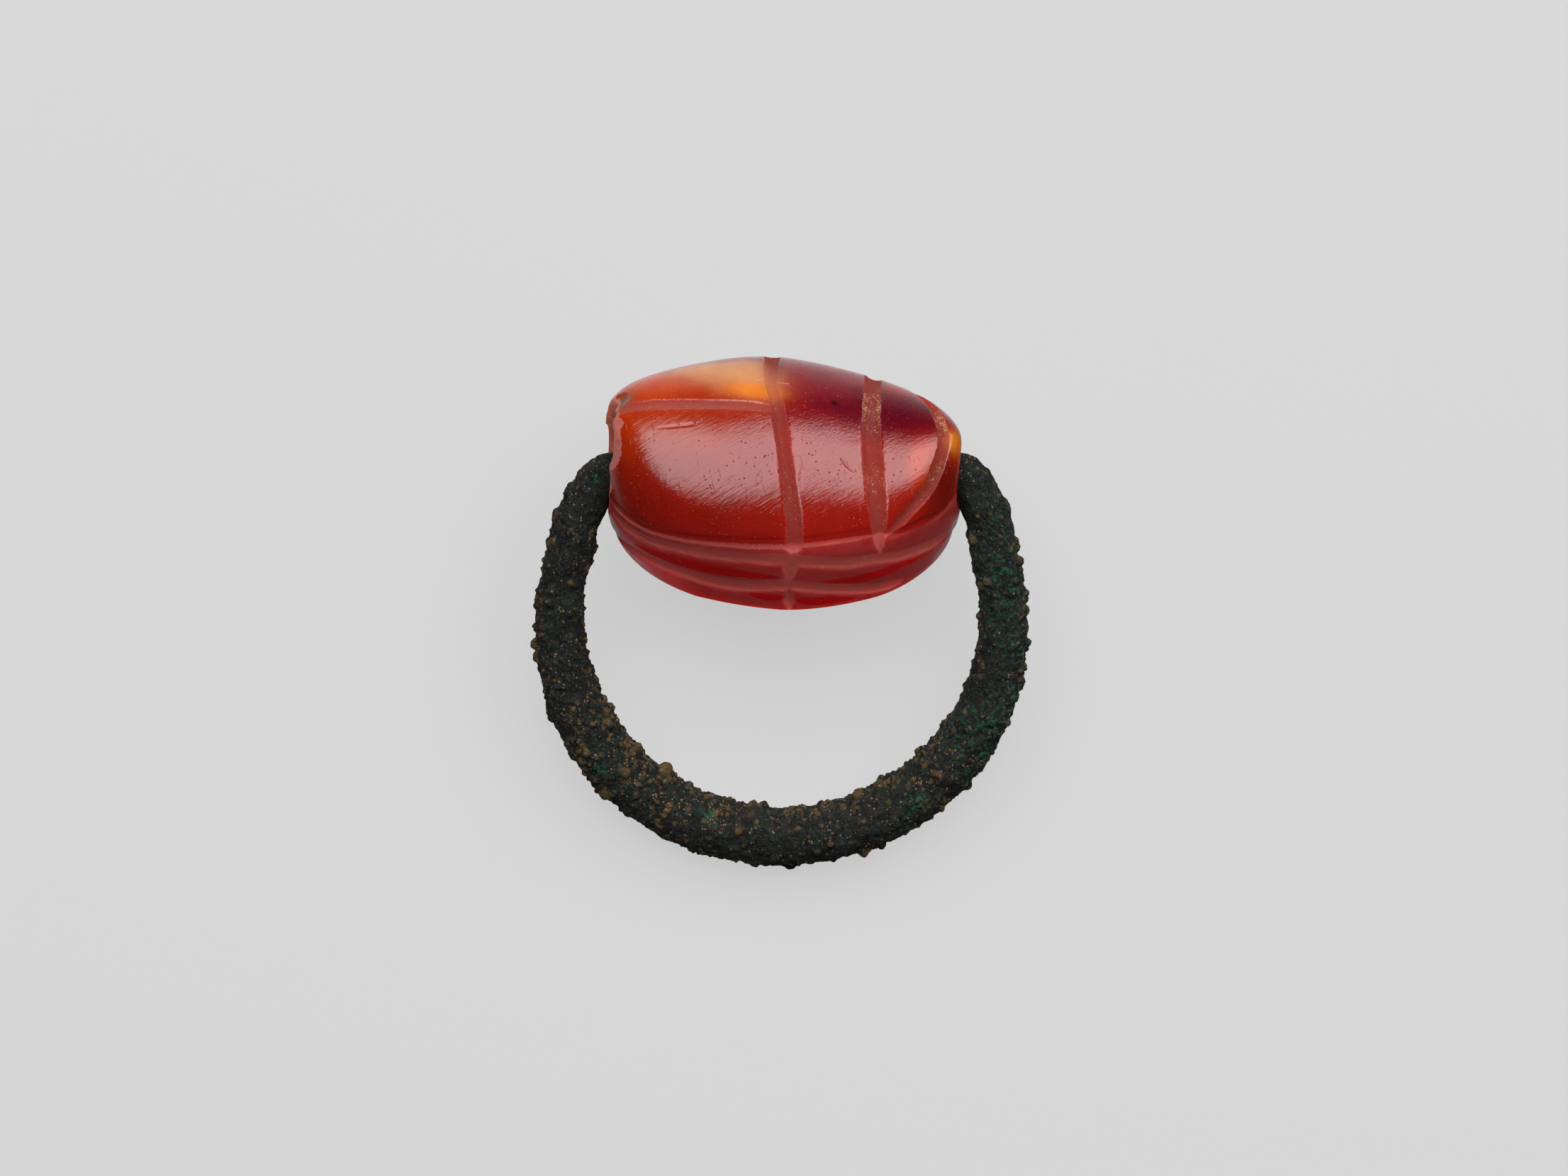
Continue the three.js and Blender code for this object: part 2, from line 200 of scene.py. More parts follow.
# How far towards the tail the stone is left around its broken mouth: degrees around, mm
TAIL_BREAK = ((-90, 8.4), (30, 8.35), (60, 8.1), (76, 7.86), (92, 7.96), (112, 8.0), (128, 8.04),
              (140, 8.16), (152, 8.3), (165, 8.4), (450, 8.4))
SCALLOP = 0.05
SCALLOP_DEGREES = 21
# The frosted band along the broken rim: degrees around, share of its growth in mm over its narrowest width
BREAK_BAND = ((40, 0), (80, 0.2), (112, 0.6), (128, 1), (160, 0.8), (175, 0))
NARROWEST_BAND = 0.1
BAND_GROWTH = 0.7
HEAD_BAND = 0.05
TAIL_BAND_WANDER = 0.4
HEAD_BAND_WANDER = 0.3
# Bevels of the two rims: the tail's against the width of its band, the head's in mm
TAIL_BEVEL = 0.25
HEAD_BEVEL = 0.05
HEAD_BEVEL_REACH = 0.1
# Waves of the surface, of the band along the rims and of the colour zones: (wavelengths in mm, height)
SURFACE_WAVES = ((6.0, 3.5), 0.035)
RIM_WAVES = ((1.6, 0.7), 0.1)
ZONE_WAVES = ((2.2, 1.1), 0.35)
WAVES_PER_LENGTH = 6

# Colour zones inside the stone: (mm towards the head, degrees around, mm long, mm round, strength, colour)
# The next two colours are lighter, clearer stone and also a painted glow of light shining through it
CREAM_AND_PAINTED_GLOW = (0.42, 0.19, 0.075)
YELLOW_AND_PAINTED_GLOW = (0.55, 0.15, 0.0)
ORANGE = (0.25, 0.019, 0.0003)
WINE = (0.125, 0.003, 0.009)
PLUM = (0.068, 0.0005, 0.0065)
# Clearer stone at the head's end and a painted glow of light shining through it
AMBER_AND_PAINTED_GLOW = (0.34, 0.12, 0.008)
CRIMSON = (0.13, 0.0004, 0.002)
# A painted glow of light passing through the stone on its shaded near side
ROSE_PAINTED_GLOW = (0.36, 0.009, 0.012)
DUSK = (0.06, 0.003, 0.001)
BROWN = (0.05, 0.012, 0.006)
UMBER = (0.13, 0.05, 0.022)
SALMON = (0.5, 0.07, 0.012)
# A painted glow low on the near side by the tail
BLUSH_PAINTED_GLOW = (0.95, 0.06, 0.07)
DUSTY = (0.26, 0.05, 0.035)
POOL = (0.42, 0.0005, 0.003)
SCARLET = (0.4, 0.03, 0.001)
INCLUSION = (0.01, 0.001, 0.002)
INK = (0.006, 0.003, 0.05)
ZONES = (
    (-5.6, 97, 3.0, 1.7, 0.75, ORANGE),
    (-7.5, 115, 1.2, 1.5, 0.4, ORANGE),
    (-6.0, 60, 2.4, 1.5, 0.5, SALMON),
    # Lighter, clearer stone on the back, with a painted glow of light shining through it
    (-3.1, 59, 2.3, 1.1, 0.9, CREAM_AND_PAINTED_GLOW),
    (-1.4, 70, 1.5, 1.3, 0.85, CREAM_AND_PAINTED_GLOW),
    (-1.3, 79, 1.3, 0.5, 0.7, YELLOW_AND_PAINTED_GLOW),
    (1.6, 91, 2.2, 0.9, 0.85, CRIMSON),
    (2.0, 58, 2.3, 2.5, 0.9, WINE),
    (4.2, 76, 2.2, 1.3, 0.95, PLUM),
    (6.0, 78, 1.9, 1.5, 0.85, PLUM),
    (6.5, 118, 0.7, 1.0, 0.9, SCARLET),
    (7.3, 138, 0.8, 1.4, 0.85, DUSK),
    # The head's end: clearer stone with a painted glow of light shining through it
    (7.92, 101, 0.42, 0.6, 0.85, AMBER_AND_PAINTED_GLOW),
    (-0.5, 42, 0.4, 2.0, 0.9, BROWN),
    (4.25, 38, 0.45, 1.8, 0.9, BROWN),
    (-7.62, 80, 0.55, 0.62, 0.95, UMBER),
    # Near side: a painted glow of light passing through the stone, strongest low by the tail
    (-1.0, 205, 9.0, 2.6, 0.85, ROSE_PAINTED_GLOW),
    (-6.3, 228, 3.0, 1.1, 0.9, BLUSH_PAINTED_GLOW),
    (-4.3, 90.5, 4.2, 0.28, 0.85, DUSTY),
    (2.34, 79, 0.16, 0.13, 1.0, INCLUSION),
    (4.36, 228, 0.1, 0.3, 0.9, INK),
)
ZONE_SHARPNESS = 4.5
# Zones smaller than this many mm keep an even outline
WANDERS_FROM = 0.5

# Earth left in the cuts: (mm towards the head, degrees around, reach in mm, strength)
DIRT_SPOTS = (
    (4.05, 75, 1.6, 0.9),
    (4.2, 125, 1.0, 0.6),
    (7.2, 75, 1.6, 1.0),
    (7.0, 130, 1.2, 0.6),
    (3.3, 187, 1.4, 0.5),
    (6.4, 200, 1.0, 0.5),
    (0.4, 140, 1.3, 0.4),
    (0.3, 192, 0.5, 0.5),
    (-6.8, 178, 1.2, 0.3),
    (-7.6, 78, 0.6, 0.55),
)
LEAST_DIRT = 0.12

# The hoop, in its own plane: X along the bore, Y towards the stone, origin on the bore
BORE_TO_CENTRE = 7.64
# Along the bar: degrees from the bottom of the ring, mm from its centre, radius of the bar
HOOP_STATIONS = (
    (0, 10.34, 1.34),
    (50, 10.34, 1.36),
    (88, 10.36, 1.13),
    (109, 10.5, 0.98),
    (121, 10.94, 0.85),
    (128, 11.1, 0.78),
)
# The ring is shifted along the bore by this much, fading out over so many degrees before each tip
HOOP_SHIFT = -0.12
TIP_SPAN = 30.0
# The ends that go into the bore: radius, and from the middle where their bend turns, where it ends and where
# they stop
PIN_RADIUS = 0.72
PIN_CORNER = 8.17
PIN_BEND_END = 7.3
PIN_END = 4.6
# Rings along the bar and segments round it, and the steps that its course is worked out in
HOOP_RINGS = 760
HOOP_SEGMENTS = 114
COURSE_STEP = 0.25
BEND_SAMPLES = 60
PIN_SAMPLES = 40
# The crust is thickest beside the stone: degrees from the bottom of the ring, mm
CRUST_FROM = 100
CRUST_AT_STONE = 0.2
# Where that swelling rises and falls, the bare pin ends and the crust clears the stone: mm from the middle
SWELL_RISE = (7.5, 8.2)
SWELL_FALL = (9.3, 10.4)
PIN_BARE = (7.4, 8.1)
STONE_CLEARED = (8.4, 8.9)
# How much of the crust is missing on the bare pin and where it faces the stone
BARE_SHARE = 0.95
FACING_SHARE = 0.8
# Waves of the crust: how many to a mm, how high against crust_height, and a shift of the pattern
CRUST_WAVES = ((0.8, 0.8, (0, 0, 0)), (2.4, 0.6, (9, 0, 0)))
# Pebbles of the crust, from large to small: how many to a mm, and how high
PEBBLES = ((2.1, 0.8), (4.6, 0.55))
# Granules: the middle of their radii and its spread, the least and the largest radius, in mm
GRANULE_RADIUS = 0.105
GRANULE_SPREAD = 0.4
GRANULE_LIMITS = (0.06, 0.27)
GRANULE_HEIGHT = 0.9
# They end beside the stone: degrees from the bottom of the ring, and over how many they thin out
GRANULES_END = 128
GRANULES_THIN = 14
# Single lumps and granules in the hoop's plane: mm along X and Y, radius, height, brownness
LARGE_LUMPS = (
    (-5.58, -14.69, 0.42, 0.48, 0.95),
    (-11.58, -8.41, 0.28, 0.26, 0.8),
    (-11.25, -9.02, 0.22, 0.2, 0.8),
    (-9.14, -7.51, 0.18, 0.17, 0.9),
    (-8.81, -3.91, 0.16, 0.15, 0.9),
    (-9.6, -0.15, 0.35, 0.12, 0.1),
    (-10.2, -0.85, 0.4, 0.16, 0.1),
    (-10.75, -2.2, 0.4, 0.14, 0.1),
    (-11.3, -3.6, 0.45, 0.1, 0.1),
)
# Patches of ochre grains and of green copper salts in the hoop's plane: mm along X and Y, reach, strength
OCHRE_SPOTS = (
    (-5.8, -16.1, 0.8, 1.0),
    (-3.0, -16.7, 0.6, 1.0),
    (6.6, -14.6, 1.0, 0.75),
    (-9.5, -4.6, 0.5, 0.7),
    (-8.9, -3.0, 0.5, 0.7),
)
GREEN_SPOTS = (
    (6.4, -16.1, 0.7, 1.0),
    (9.4, -14.8, 0.9, 1.0),
    (9.9, -13.7, 0.8, 1.0),
    (7.9, -17.5, 0.9, 0.8),
    (9.6, -12.6, 2.0, 0.5),
    (9.9, -5.0, 3.2, 0.4),
    (5.84, -17.6, 0.6, 0.9),
    (9.9, -14.0, 0.7, 1.0),
    (10.9, -11.5, 1.3, 0.8),
    (11.2, -8.5, 1.0, 0.6),
    (-8.71, -0.27, 0.22, 1.0),
    (-8.7, -14.2, 0.6, 0.75),
    (-3.5, -16.6, 0.5, 0.5),
)
LEAST_GREEN = 0.06

# Repeats to a metre of the patterns in the two materials, and the height of their relief in metres
STONE_SCALES = dict(mottle=420, cut_edge=9000, broken_edge=5000, satin=1600, grain=16000, clumps=2200,
                    flecks=11000, pits=3600, pitted=500, uneven=900)
STONE_RELIEF = dict(uneven=0.00003, streaks=0.000016, hairlines=0.000012, pits=0.00004, grain=0.00004)
CRUST_SCALES = dict(sand=9000, patches=1200, large_grains=3600, small_grains=8200, clumps=1300,
                    verdigris=4200, coarse=3600)
CRUST_RELIEF = dict(coarse=0.00016, large_grains=0.00005, small_grains=0.000035, sand=0.00004)
# Scratches of the polished stone: length and width in metres, slant
STREAKS = (0.0016, 0.00011, math.radians(32))
HAIRLINES = (0.0022, 0.00009, math.radians(-75))
CARNELIAN_IOR = 1.54
SUBSURFACE_WEIGHT = 0.75
SUBSURFACE_RADIUS = (1.0, 0.16, 0.05)
SUBSURFACE_SCALE = 0.003
# Share of the grains that are brown or gold where earth is full, and how bright a grain is to be a pale one
BROWN_SHARE = 0.3
GOLD_SHARE = 0.5
PALE_FROM = 0.955

# The lights, in metres: place and size. The window's edges are slopes seen from the middle of the stone.
SOFTBOX = ((0.03, 0.165, 0.26), (0.60, 0.34))
WINDOW = ((0.0, 0.15, 0.236), (0.7, 0.78))
LIGHTS_AIM = (0, 0.004, 0.006)
WINDOW_CENTRE = (0.0067, 0.007)
# Each edge of the window: its slant, and where it is dark and lit
LOWER_EDGE = (0.72, -0.05, 0.09)
LEFT_EDGE = (0.1, -0.69, -0.61)
UPPER_EDGE = (1.25, 1.55, 1.4)
FLOOR_SIZE = 1.2
CAMERA_ABOVE = (0.00017, 0.001125, 0.006)
CAMERA_LENS = 200
CAMERA_SENSOR = 36
# What the stone mirrors of the room: the direction towards the paper, where along it the room is dark and
# pale, and how bright both are
ROOM_LEAN = (-0.15, 0.25, -0.9)
ROOM_RAMP = (0.25, 1.0, 0.015, 0.75)

# Seeds of the random draws
WAVE_SEED = 5
ZONE_SEED = 6
RIM_SEED = 7
GRANULE_SEED = 11


def taper(x, reach, fullness):
    inner, outer = fullness
    return (1 - np.minimum(np.abs(x) / reach, 1) ** inner) ** (1 / outer)


class StoneShape:
    """The smooth stone as a function of mm towards the head and degrees around it.

    -90 to 0 is the far side, 0 to 180 the back, 180 to 270 the near side and 270 to 450 the flat base.
    """

    def __init__(self, settings):
        self.half_length = settings.half_length * MM
        self.width = settings.half_width * MM
        self.height = settings.back_height * MM
        self.depth = settings.base_depth * MM

    def half_width(self, x):
        tail = taper(x, self.half_length, TAIL_FULLNESS)
        head = taper(x, self.half_length, HEAD_FULLNESS)
        return self.width * np.where(x < 0, tail, head)

    def back_height(self, x):
        fall = (1 - np.cos(math.pi * np.clip((x - DROP_FROM) / DROP_RUN, 0, 1))) / 2
        return (self.height - HEAD_DROP * fall) * taper(x, self.half_length, CREST_FULLNESS)

    def base_depth(self, x):
        past = np.clip((np.abs(x) - self.half_length) / BASE_END_ROUNDING + 1, 0, 1)
        return self.depth * np.sqrt(1 - past * past)

    def base_half_width(self, x):
        foot = self.width * taper(x, BASE_HALF_LENGTH, BASE_FULLNESS)
        widest = self.half_width(x)
        return np.clip(foot, NARROWEST_BASE * widest, np.maximum(widest - BASE_INSET, 0))

    def point(self, x, degrees):
        x, degrees = np.broadcast_arrays(np.asarray(x, float), np.asarray(degrees, float))
        angle = np.radians(np.minimum(degrees, 270))
        rise, across = np.sin(angle), np.cos(angle)
        side = np.where(degrees > 90, -1.0, 1.0)
        foot = np.where(rise < 0, self.base_half_width(x) * side, 0)
        y = foot + (self.half_width(x) - np.abs(foot)) * across
        under = np.clip((degrees - 270) / 90, 0, 2)
        z = rise * np.where(rise < 0, self.base_depth(x), self.back_height(x))
        return np.stack([x, y * (1 - under) - SKEW * x, z], axis=-1)

    def normal(self, x, degrees):
        x, degrees = np.broadcast_arrays(np.asarray(x, float), np.asarray(degrees, float))
        inside = np.clip(x, NORMAL_STEP - self.half_length, self.half_length - NORMAL_STEP)
        along = self.point(inside + NORMAL_STEP, degrees) - self.point(inside - NORMAL_STEP, degrees)
        around = self.point(inside, degrees + NORMAL_STEP) - self.point(inside, degrees - NORMAL_STEP)
        out = np.cross(around, along)
        return out / np.maximum(np.linalg.norm(out, axis=-1, keepdims=True), 1e-12)


def funnel_radius(x, half_length):
    """How wide the chipped mouth of the bore is, at a distance along the stone."""
    past = np.abs(x) - (half_length - MOUTH_DEPTH)
    return BORE_RADIUS + (MOUTH_RADIUS - BORE_RADIUS) / MOUTH_DEPTH * past


def rim_positions(shape, degrees, end):
    """How far along each column the mouth at that end (-1 tail, 1 head) cuts the stone."""
    low = np.full(len(degrees), shape.half_length - MOUTH_DEPTH)
    high = np.full(len(degrees), shape.half_length)
    for _ in range(RIM_SEARCH_STEPS):
        middle = (low + high) / 2
        point = shape.point(end * middle, degrees)
        outside = np.hypot(point[:, 1], point[:, 2]) > funnel_radius(middle, shape.half_length)
        low = np.where(outside, middle, low)
        high = np.where(outside, high, middle)
    if end < 0:
        left = np.interp(degrees, *np.array(TAIL_BREAK).T)
        low = np.minimum(low, left - SCALLOP * np.abs(np.sin(math.pi * degrees / SCALLOP_DEGREES)))
    return end * low


def stone_columns():
    walls = np.arange(WALL_COLUMNS) / WALL_COLUMNS * 90
    far_wall = -90 + walls
    dome = np.arange(DOME_COLUMNS) / DOME_COLUMNS * 180
    near_wall = 180 + walls
    base = 270 + np.arange(BASE_COLUMNS) / BASE_COLUMNS * 180
    return np.concatenate([far_wall, dome, near_wall, base])


def stone_rows(shape, degrees):
    """x of each vertex (columns by rows), evenly spaced over the surface from one rim to the other."""
    table = np.linspace(-shape.half_length, shape.half_length, OUTLINE_SAMPLES)
    slope = np.gradient(shape.half_width(table), table)
    run = np.concatenate([[0], np.cumsum(np.hypot(1, OUTLINE_WEIGHT * slope)[1:] * np.diff(table))])
    tail = np.interp(rim_positions(shape, degrees, -1), table, run)
    head = np.interp(rim_positions(shape, degrees, 1), table, run)
    share = np.linspace(0, 1, STONE_ROWS)
    return np.interp(tail[:, None] + (head - tail)[:, None] * share[None, :], run, table)


def spline(corners, count):
    """A smooth curve through the corner points."""
    corners = np.array(corners, float)
    along = np.linspace(0, len(corners) - 1, count)
    start = np.minimum(along.astype(int), len(corners) - 2)
    w = (along - start)[:, None]
    before = corners[np.maximum(start - 1, 0)]
    here, after = corners[start], corners[start + 1]
    beyond = corners[np.minimum(start + 2, len(corners) - 1)]
    leave, arrive = (after - before) / 2, (beyond - here) / 2
    return ((2 * here - 2 * after + leave + arrive) * w ** 3
            + (-3 * here + 3 * after - 2 * leave - arrive) * w ** 2 + leave * w + here)


def nearest_on_path(points, path):
    """Distance of each point to the path and the index of the nearest sample."""
    square = (points ** 2).sum(1)[:, None] - 2 * points @ path.T + (path ** 2).sum(1)[None, :]
    nearest = square.argmin(1)
    return np.sqrt(np.maximum(square[np.arange(len(points)), nearest], 0)), nearest


def mirrored(corners):
    """The same corner points on the far side of the stone."""
    return tuple((x, 180 - degrees) for x, degrees in corners)


def cut_list():
    """Each cut with its corners and the side of the stone, 1 near and -1 far, that it is on."""
    for cut in CUTS.values():
        yield cut, cut.corners, 1
        if cut.two_sided:
            yield cut, mirrored(cut.corners), -1


def inside_share(inside, softness):
    """From 0 outside to 1 inside an edge that is so many mm soft."""
    return np.clip(inside / softness + 0.5, 0, 1)


def run_out(share, fade):
    """How near a cut is to its full width and depth at each share of its length."""
    start, end = fade
    grow = np.ones(len(share))
    if start:
        grow = np.minimum(grow, share / start)
    if end:
        grow = np.minimum(grow, (1 - share) / end)
    return np.sqrt(np.clip(grow, 0, 1))


def hand_wobble(path, index):
    """How a line ground by hand swells and narrows along its path."""
    return np.array([noise.noise(Vector((0.9 * p[0], 0.9 * p[1], 0.9 * p[2] + 7 * index)))
                     + 0.5 * noise.noise(Vector((3 * p[0], 3 * p[1], 3 * p[2] - 5 * index)))
                     for p in path])


def carve(shape, flat_points, flat_degrees, depth_scale):
    """How deep the cuts go at each point, how far inside a frosted cut it is, and how matt it is."""
    depth = np.zeros(len(flat_points))
    frost = np.full(len(flat_points), FAR_OUTSIDE)
    matt = np.zeros(len(flat_points))
    share = np.linspace(0, 1, CUT_SAMPLES)
    for index, (cut, corners, side) in enumerate(cut_list()):
        route = spline(corners, CUT_SAMPLES)
        path = shape.point(route[:, 0], route[:, 1])
        reach = max(cut.widths)
        near = np.all((flat_points > path.min(0) - reach) & (flat_points < path.max(0) + reach), axis=1)
        chosen = np.flatnonzero(near)
        distance, nearest = nearest_on_path(flat_points[chosen], path)
        grow = run_out(share, cut.fade)
        wobble = 1 + WOBBLE * hand_wobble(path, index)
        half = np.interp(share, (0, 0.5, 1), cut.widths) / 2 * grow * wobble
        inside = half[nearest] - distance
        across = side * np.sign(flat_degrees[chosen] - route[nearest, 1])
        across = across * np.clip(distance / np.maximum(half[nearest], 1e-6), 0, 1)
        slope = np.where(across > cut.lean, 1 - cut.lean, 1 + cut.lean)
        from_deepest = np.clip(np.abs(across - cut.lean) / slope, 0, 1)
        run_in = np.interp(share, SHALLOW_START, (cut.start_depth, cut.start_depth, 1.0))
        deepest = cut.depth * depth_scale * (grow * run_in)[nearest]
        hollow = deepest * (1 - from_deepest ** WALL_STEEPNESS)
        depth[chosen] = np.maximum(depth[chosen], hollow)
        if cut.frost > FROSTED_FROM:
            frost[chosen] = np.maximum(frost[chosen], inside)
        matt[chosen] = np.maximum(matt[chosen], cut.frost * inside_share(inside, CUT_EDGE))
    return depth, frost, matt


def clear_pools(shape, flat_points):
    """Where the stone between the leg lines is deep, clear and polished, from 0 to 1."""
    clear = np.zeros(len(flat_points))
    spindle = np.sin(math.pi * np.linspace(0, 1, CUT_SAMPLES)) ** POOL_TAPER
    for width, corners in POOLS:
        for side_corners in (corners, mirrored(corners)):
            route = spline(side_corners, CUT_SAMPLES)
            path = shape.point(route[:, 0], route[:, 1])
            distance, nearest = nearest_on_path(flat_points, path)
            clear = np.maximum(clear, inside_share(width / 2 * spindle[nearest] - distance, POOL_EDGE))
    return clear


def chip_off(shape, flat_points):
    """How deep the flakes and nicks go at each point, and how far inside a frosted one it is."""
    depth = np.zeros(len(flat_points))
    broken = np.full(len(flat_points), FAR_OUTSIDE)
    for x, degrees, radius, deepest in CHIPS:
        distance = np.linalg.norm(flat_points - shape.point(x, degrees), axis=1)
        bowl = np.sqrt(np.maximum(radius ** 2 - distance ** 2, 0)) - (radius - deepest)
        depth = np.maximum(depth, bowl)
        if radius < GLASSY_FROM:
            edge = math.sqrt(radius ** 2 - (radius - deepest) ** 2)
            broken = np.maximum(broken, edge - distance)
    return depth, broken


def ripples(points, seed, waves):
    """A soft unevenness of the surface, the same on each run."""
    wavelengths, height = waves
    draw = np.random.default_rng(seed)
    total = np.zeros(len(points))
    for wavelength in wavelengths:
        for _ in range(WAVES_PER_LENGTH):
            direction = draw.normal(size=3)
            direction *= 2 * math.pi / wavelength / np.linalg.norm(direction)
            total += np.sin(points @ direction + draw.uniform(0, 2 * math.pi)) * wavelength
    return height * total / (np.abs(total).max() + 1e-9)


def round_base_edge(points, degrees):
    """Softens the sharp turn between the sides and the base."""
    for corner in (-90, 270):
        away = np.abs(degrees - corner)
        away = np.minimum(away, 540 - away)
        soft = np.exp(-(away / EDGE_ROUNDING_DEGREES) ** 2)[:, None, None]
        for _ in range(EDGE_ROUNDING_PASSES):
            smooth = (np.roll(points, 1, 0) + np.roll(points, -1, 0)) / 2
            points = points + 0.5 * soft * (smooth - points)
    return points


def zone_colours(shape, points, body):
    """The body colour of the stone at each point, with its lighter, redder and darker zones, some of them a
    painted glow.
    """
    colour = np.tile(np.array(body, float), (len(points), 1))
    drift = ripples(points, ZONE_SEED, ZONE_WAVES)
    for x, degrees, long, wide, strength, tint in ZONES:
        offset = points - shape.point(x, degrees)
        reach = np.hypot(offset[:, 0] / long, np.linalg.norm(offset[:, 1:], axis=1) / wide)
        wander = drift if min(long, wide) > WANDERS_FROM else 0
        soft = 1 / (1 + np.exp((reach - 1 + wander) * ZONE_SHARPNESS))
        share = (strength * soft)[:, None]
        colour = colour * (1 - share) + np.array(tint) * share
    return colour


def add_spots(amount, spots, distance_to):
    """Raises the amount around each spot: the two numbers of its place, its reach and its strength."""
    for first, second, reach, strength in spots:
        amount = np.maximum(amount, strength * np.exp(-(distance_to(first, second) / reach) ** 2))
    return amount


def to_row_frame(points, turn):
    """Stone or hoop millimetres, turned about the bore and moved to it, in metres."""
    c, s = math.cos(turn), math.sin(turn)
    x, y, z = points[:, 0], points[:, 1], points[:, 2]
    turned = np.stack([x, y * c - z * s, y * s + z * c], axis=1) + BORE_POINT
    turned[:, 2] = np.maximum(turned[:, 2], 0)
    return turned / MM


def deselect_all():
    for obj in bpy.context.selected_objects:
        obj.select_set(False)


def set_points(obj, points):
    obj.data.vertices.foreach_set("co", np.ascontiguousarray(points, dtype=np.float32).ravel())
    obj.data.update()


def add_values(obj, name, values):
    layer = obj.data.attributes.new(name, "FLOAT", "POINT")
    layer.data.foreach_set("value", np.ascontiguousarray(values, dtype=np.float32).ravel())


def add_colours(obj, name, colours):
    layer = obj.data.attributes.new(name, "FLOAT_COLOR", "POINT")
    rgba = np.concatenate([colours, np.ones((len(colours), 1))], axis=1)
    layer.data.foreach_set("color", np.ascontiguousarray(rgba, dtype=np.float32).ravel())


def close_and_smooth():
    """Closes the active object's seams, turns its normals outwards and shades it smooth."""
    bpy.ops.object.mode_set(mode="EDIT")
    bpy.ops.mesh.select_all(action="SELECT")
    bpy.ops.mesh.remove_doubles(threshold=SAME_PLACE)
    bpy.ops.mesh.normals_make_consistent(inside=False)
    bpy.ops.object.mode_set(mode="OBJECT")
    bpy.ops.object.shade_smooth()


class Nodes:
    """A short way to write the nodes of a material, a light or the world."""

    def __init__(self, owner, place_node="ShaderNodeTexCoord", place_output="Object"):
        owner.use_nodes = True
        self.tree = owner.node_tree
        self.place = self.add(place_node).outputs[place_output]

    def socket(self, node, name):
        """An input of one of the nodes that the owner has from the start."""
        return self.tree.nodes[node].inputs[name]

    def add(self, kind, **settings):
        made = self.tree.nodes.new(kind)
        for key, value in settings.items():
            setattr(made, key, value)
        return made

    def feed(self, socket, value):
        if isinstance(value, bpy.types.NodeSocket):
            self.tree.links.new(value, socket)
        else:
            socket.default_value = value

    def attribute(self, name, output="Fac"):
        return self.add("ShaderNodeAttribute", attribute_name=name).outputs[output]

    def streaked(self, long, thin, angle):
        """Coordinates that stretch a pattern of unit size to marks of that length, width and slant."""
        mapping = self.add("ShaderNodeMapping", vector_type="TEXTURE")
        self.feed(mapping.inputs["Vector"], self.place)
        mapping.inputs["Scale"].default_value = (long, thin, thin)
        mapping.inputs["Rotation"].default_value = (0, 0, angle)
        return mapping.outputs["Vector"]

    def noise(self, scale, detail=2.0, roughness=0.5, vector=None):
        made = self.add("ShaderNodeTexNoise")
        self.feed(made.inputs["Vector"], vector or self.place)
        made.inputs["Scale"].default_value = scale
        made.inputs["Detail"].default_value = detail
        made.inputs["Roughness"].default_value = roughness
        return made.outputs["Fac"]

    def cells(self, scale):
        made = self.add("ShaderNodeTexVoronoi")
        self.feed(made.inputs["Vector"], self.place)
        made.inputs["Scale"].default_value = scale
        return made.outputs

    def grains(self, scale):
        """Distance from the middle of the nearest grain, and two numbers that differ from grain to grain."""
        cell = self.cells(scale)
        tones = self.add("ShaderNodeSeparateColor")
        self.feed(tones.inputs[0], cell["Color"])
        return cell["Distance"], tones.outputs[0], tones.outputs[1]

    def maths(self, operation, a, b=0.0, clamp=False):
        made = self.add("ShaderNodeMath", operation=operation, use_clamp=clamp)
        self.feed(made.inputs[0], a)
        self.feed(made.inputs[1], b)
        return made.outputs[0]

    def times(self, a, b):
        return self.maths("MULTIPLY", a, b)

    def plus(self, a, b):
        return self.maths("ADD", a, b)

    def ramp(self, value, low, high, to_low=0.0, to_high=1.0):
        made = self.add("ShaderNodeMapRange", interpolation_type="SMOOTHSTEP")
        for key, number in (("Value", value), ("From Min", low), ("From Max", high),
                            ("To Min", to_low), ("To Max", to_high)):
            self.feed(made.inputs[key], number)
        return made.outputs["Result"]

    def mix(self, share, a, b):
        made = self.add("ShaderNodeMix", data_type="RGBA", clamp_factor=True)
        self.feed(made.inputs[0], share)
        self.feed(made.inputs[6], a)
        self.feed(made.inputs[7], b)
        return made.outputs[2]

    def bump(self, height, distance, strength=1.0, under=None):
        made = self.add("ShaderNodeBump")
        made.inputs["Distance"].default_value = distance
        made.inputs["Strength"].default_value = strength
        self.feed(made.inputs["Height"], height)
        if under:
            self.feed(made.inputs["Normal"], under)
        return made.outputs["Normal"]


def smooth_step(value, low, high):
    share = np.clip((value - low) / (high - low), 0, 1)
    return share * share * (3 - 2 * share)


def hump(value, middle, reach):
    return np.exp(-((value - middle) / reach) ** 2)


def rgba(colour):
    return (*colour, 1.0)


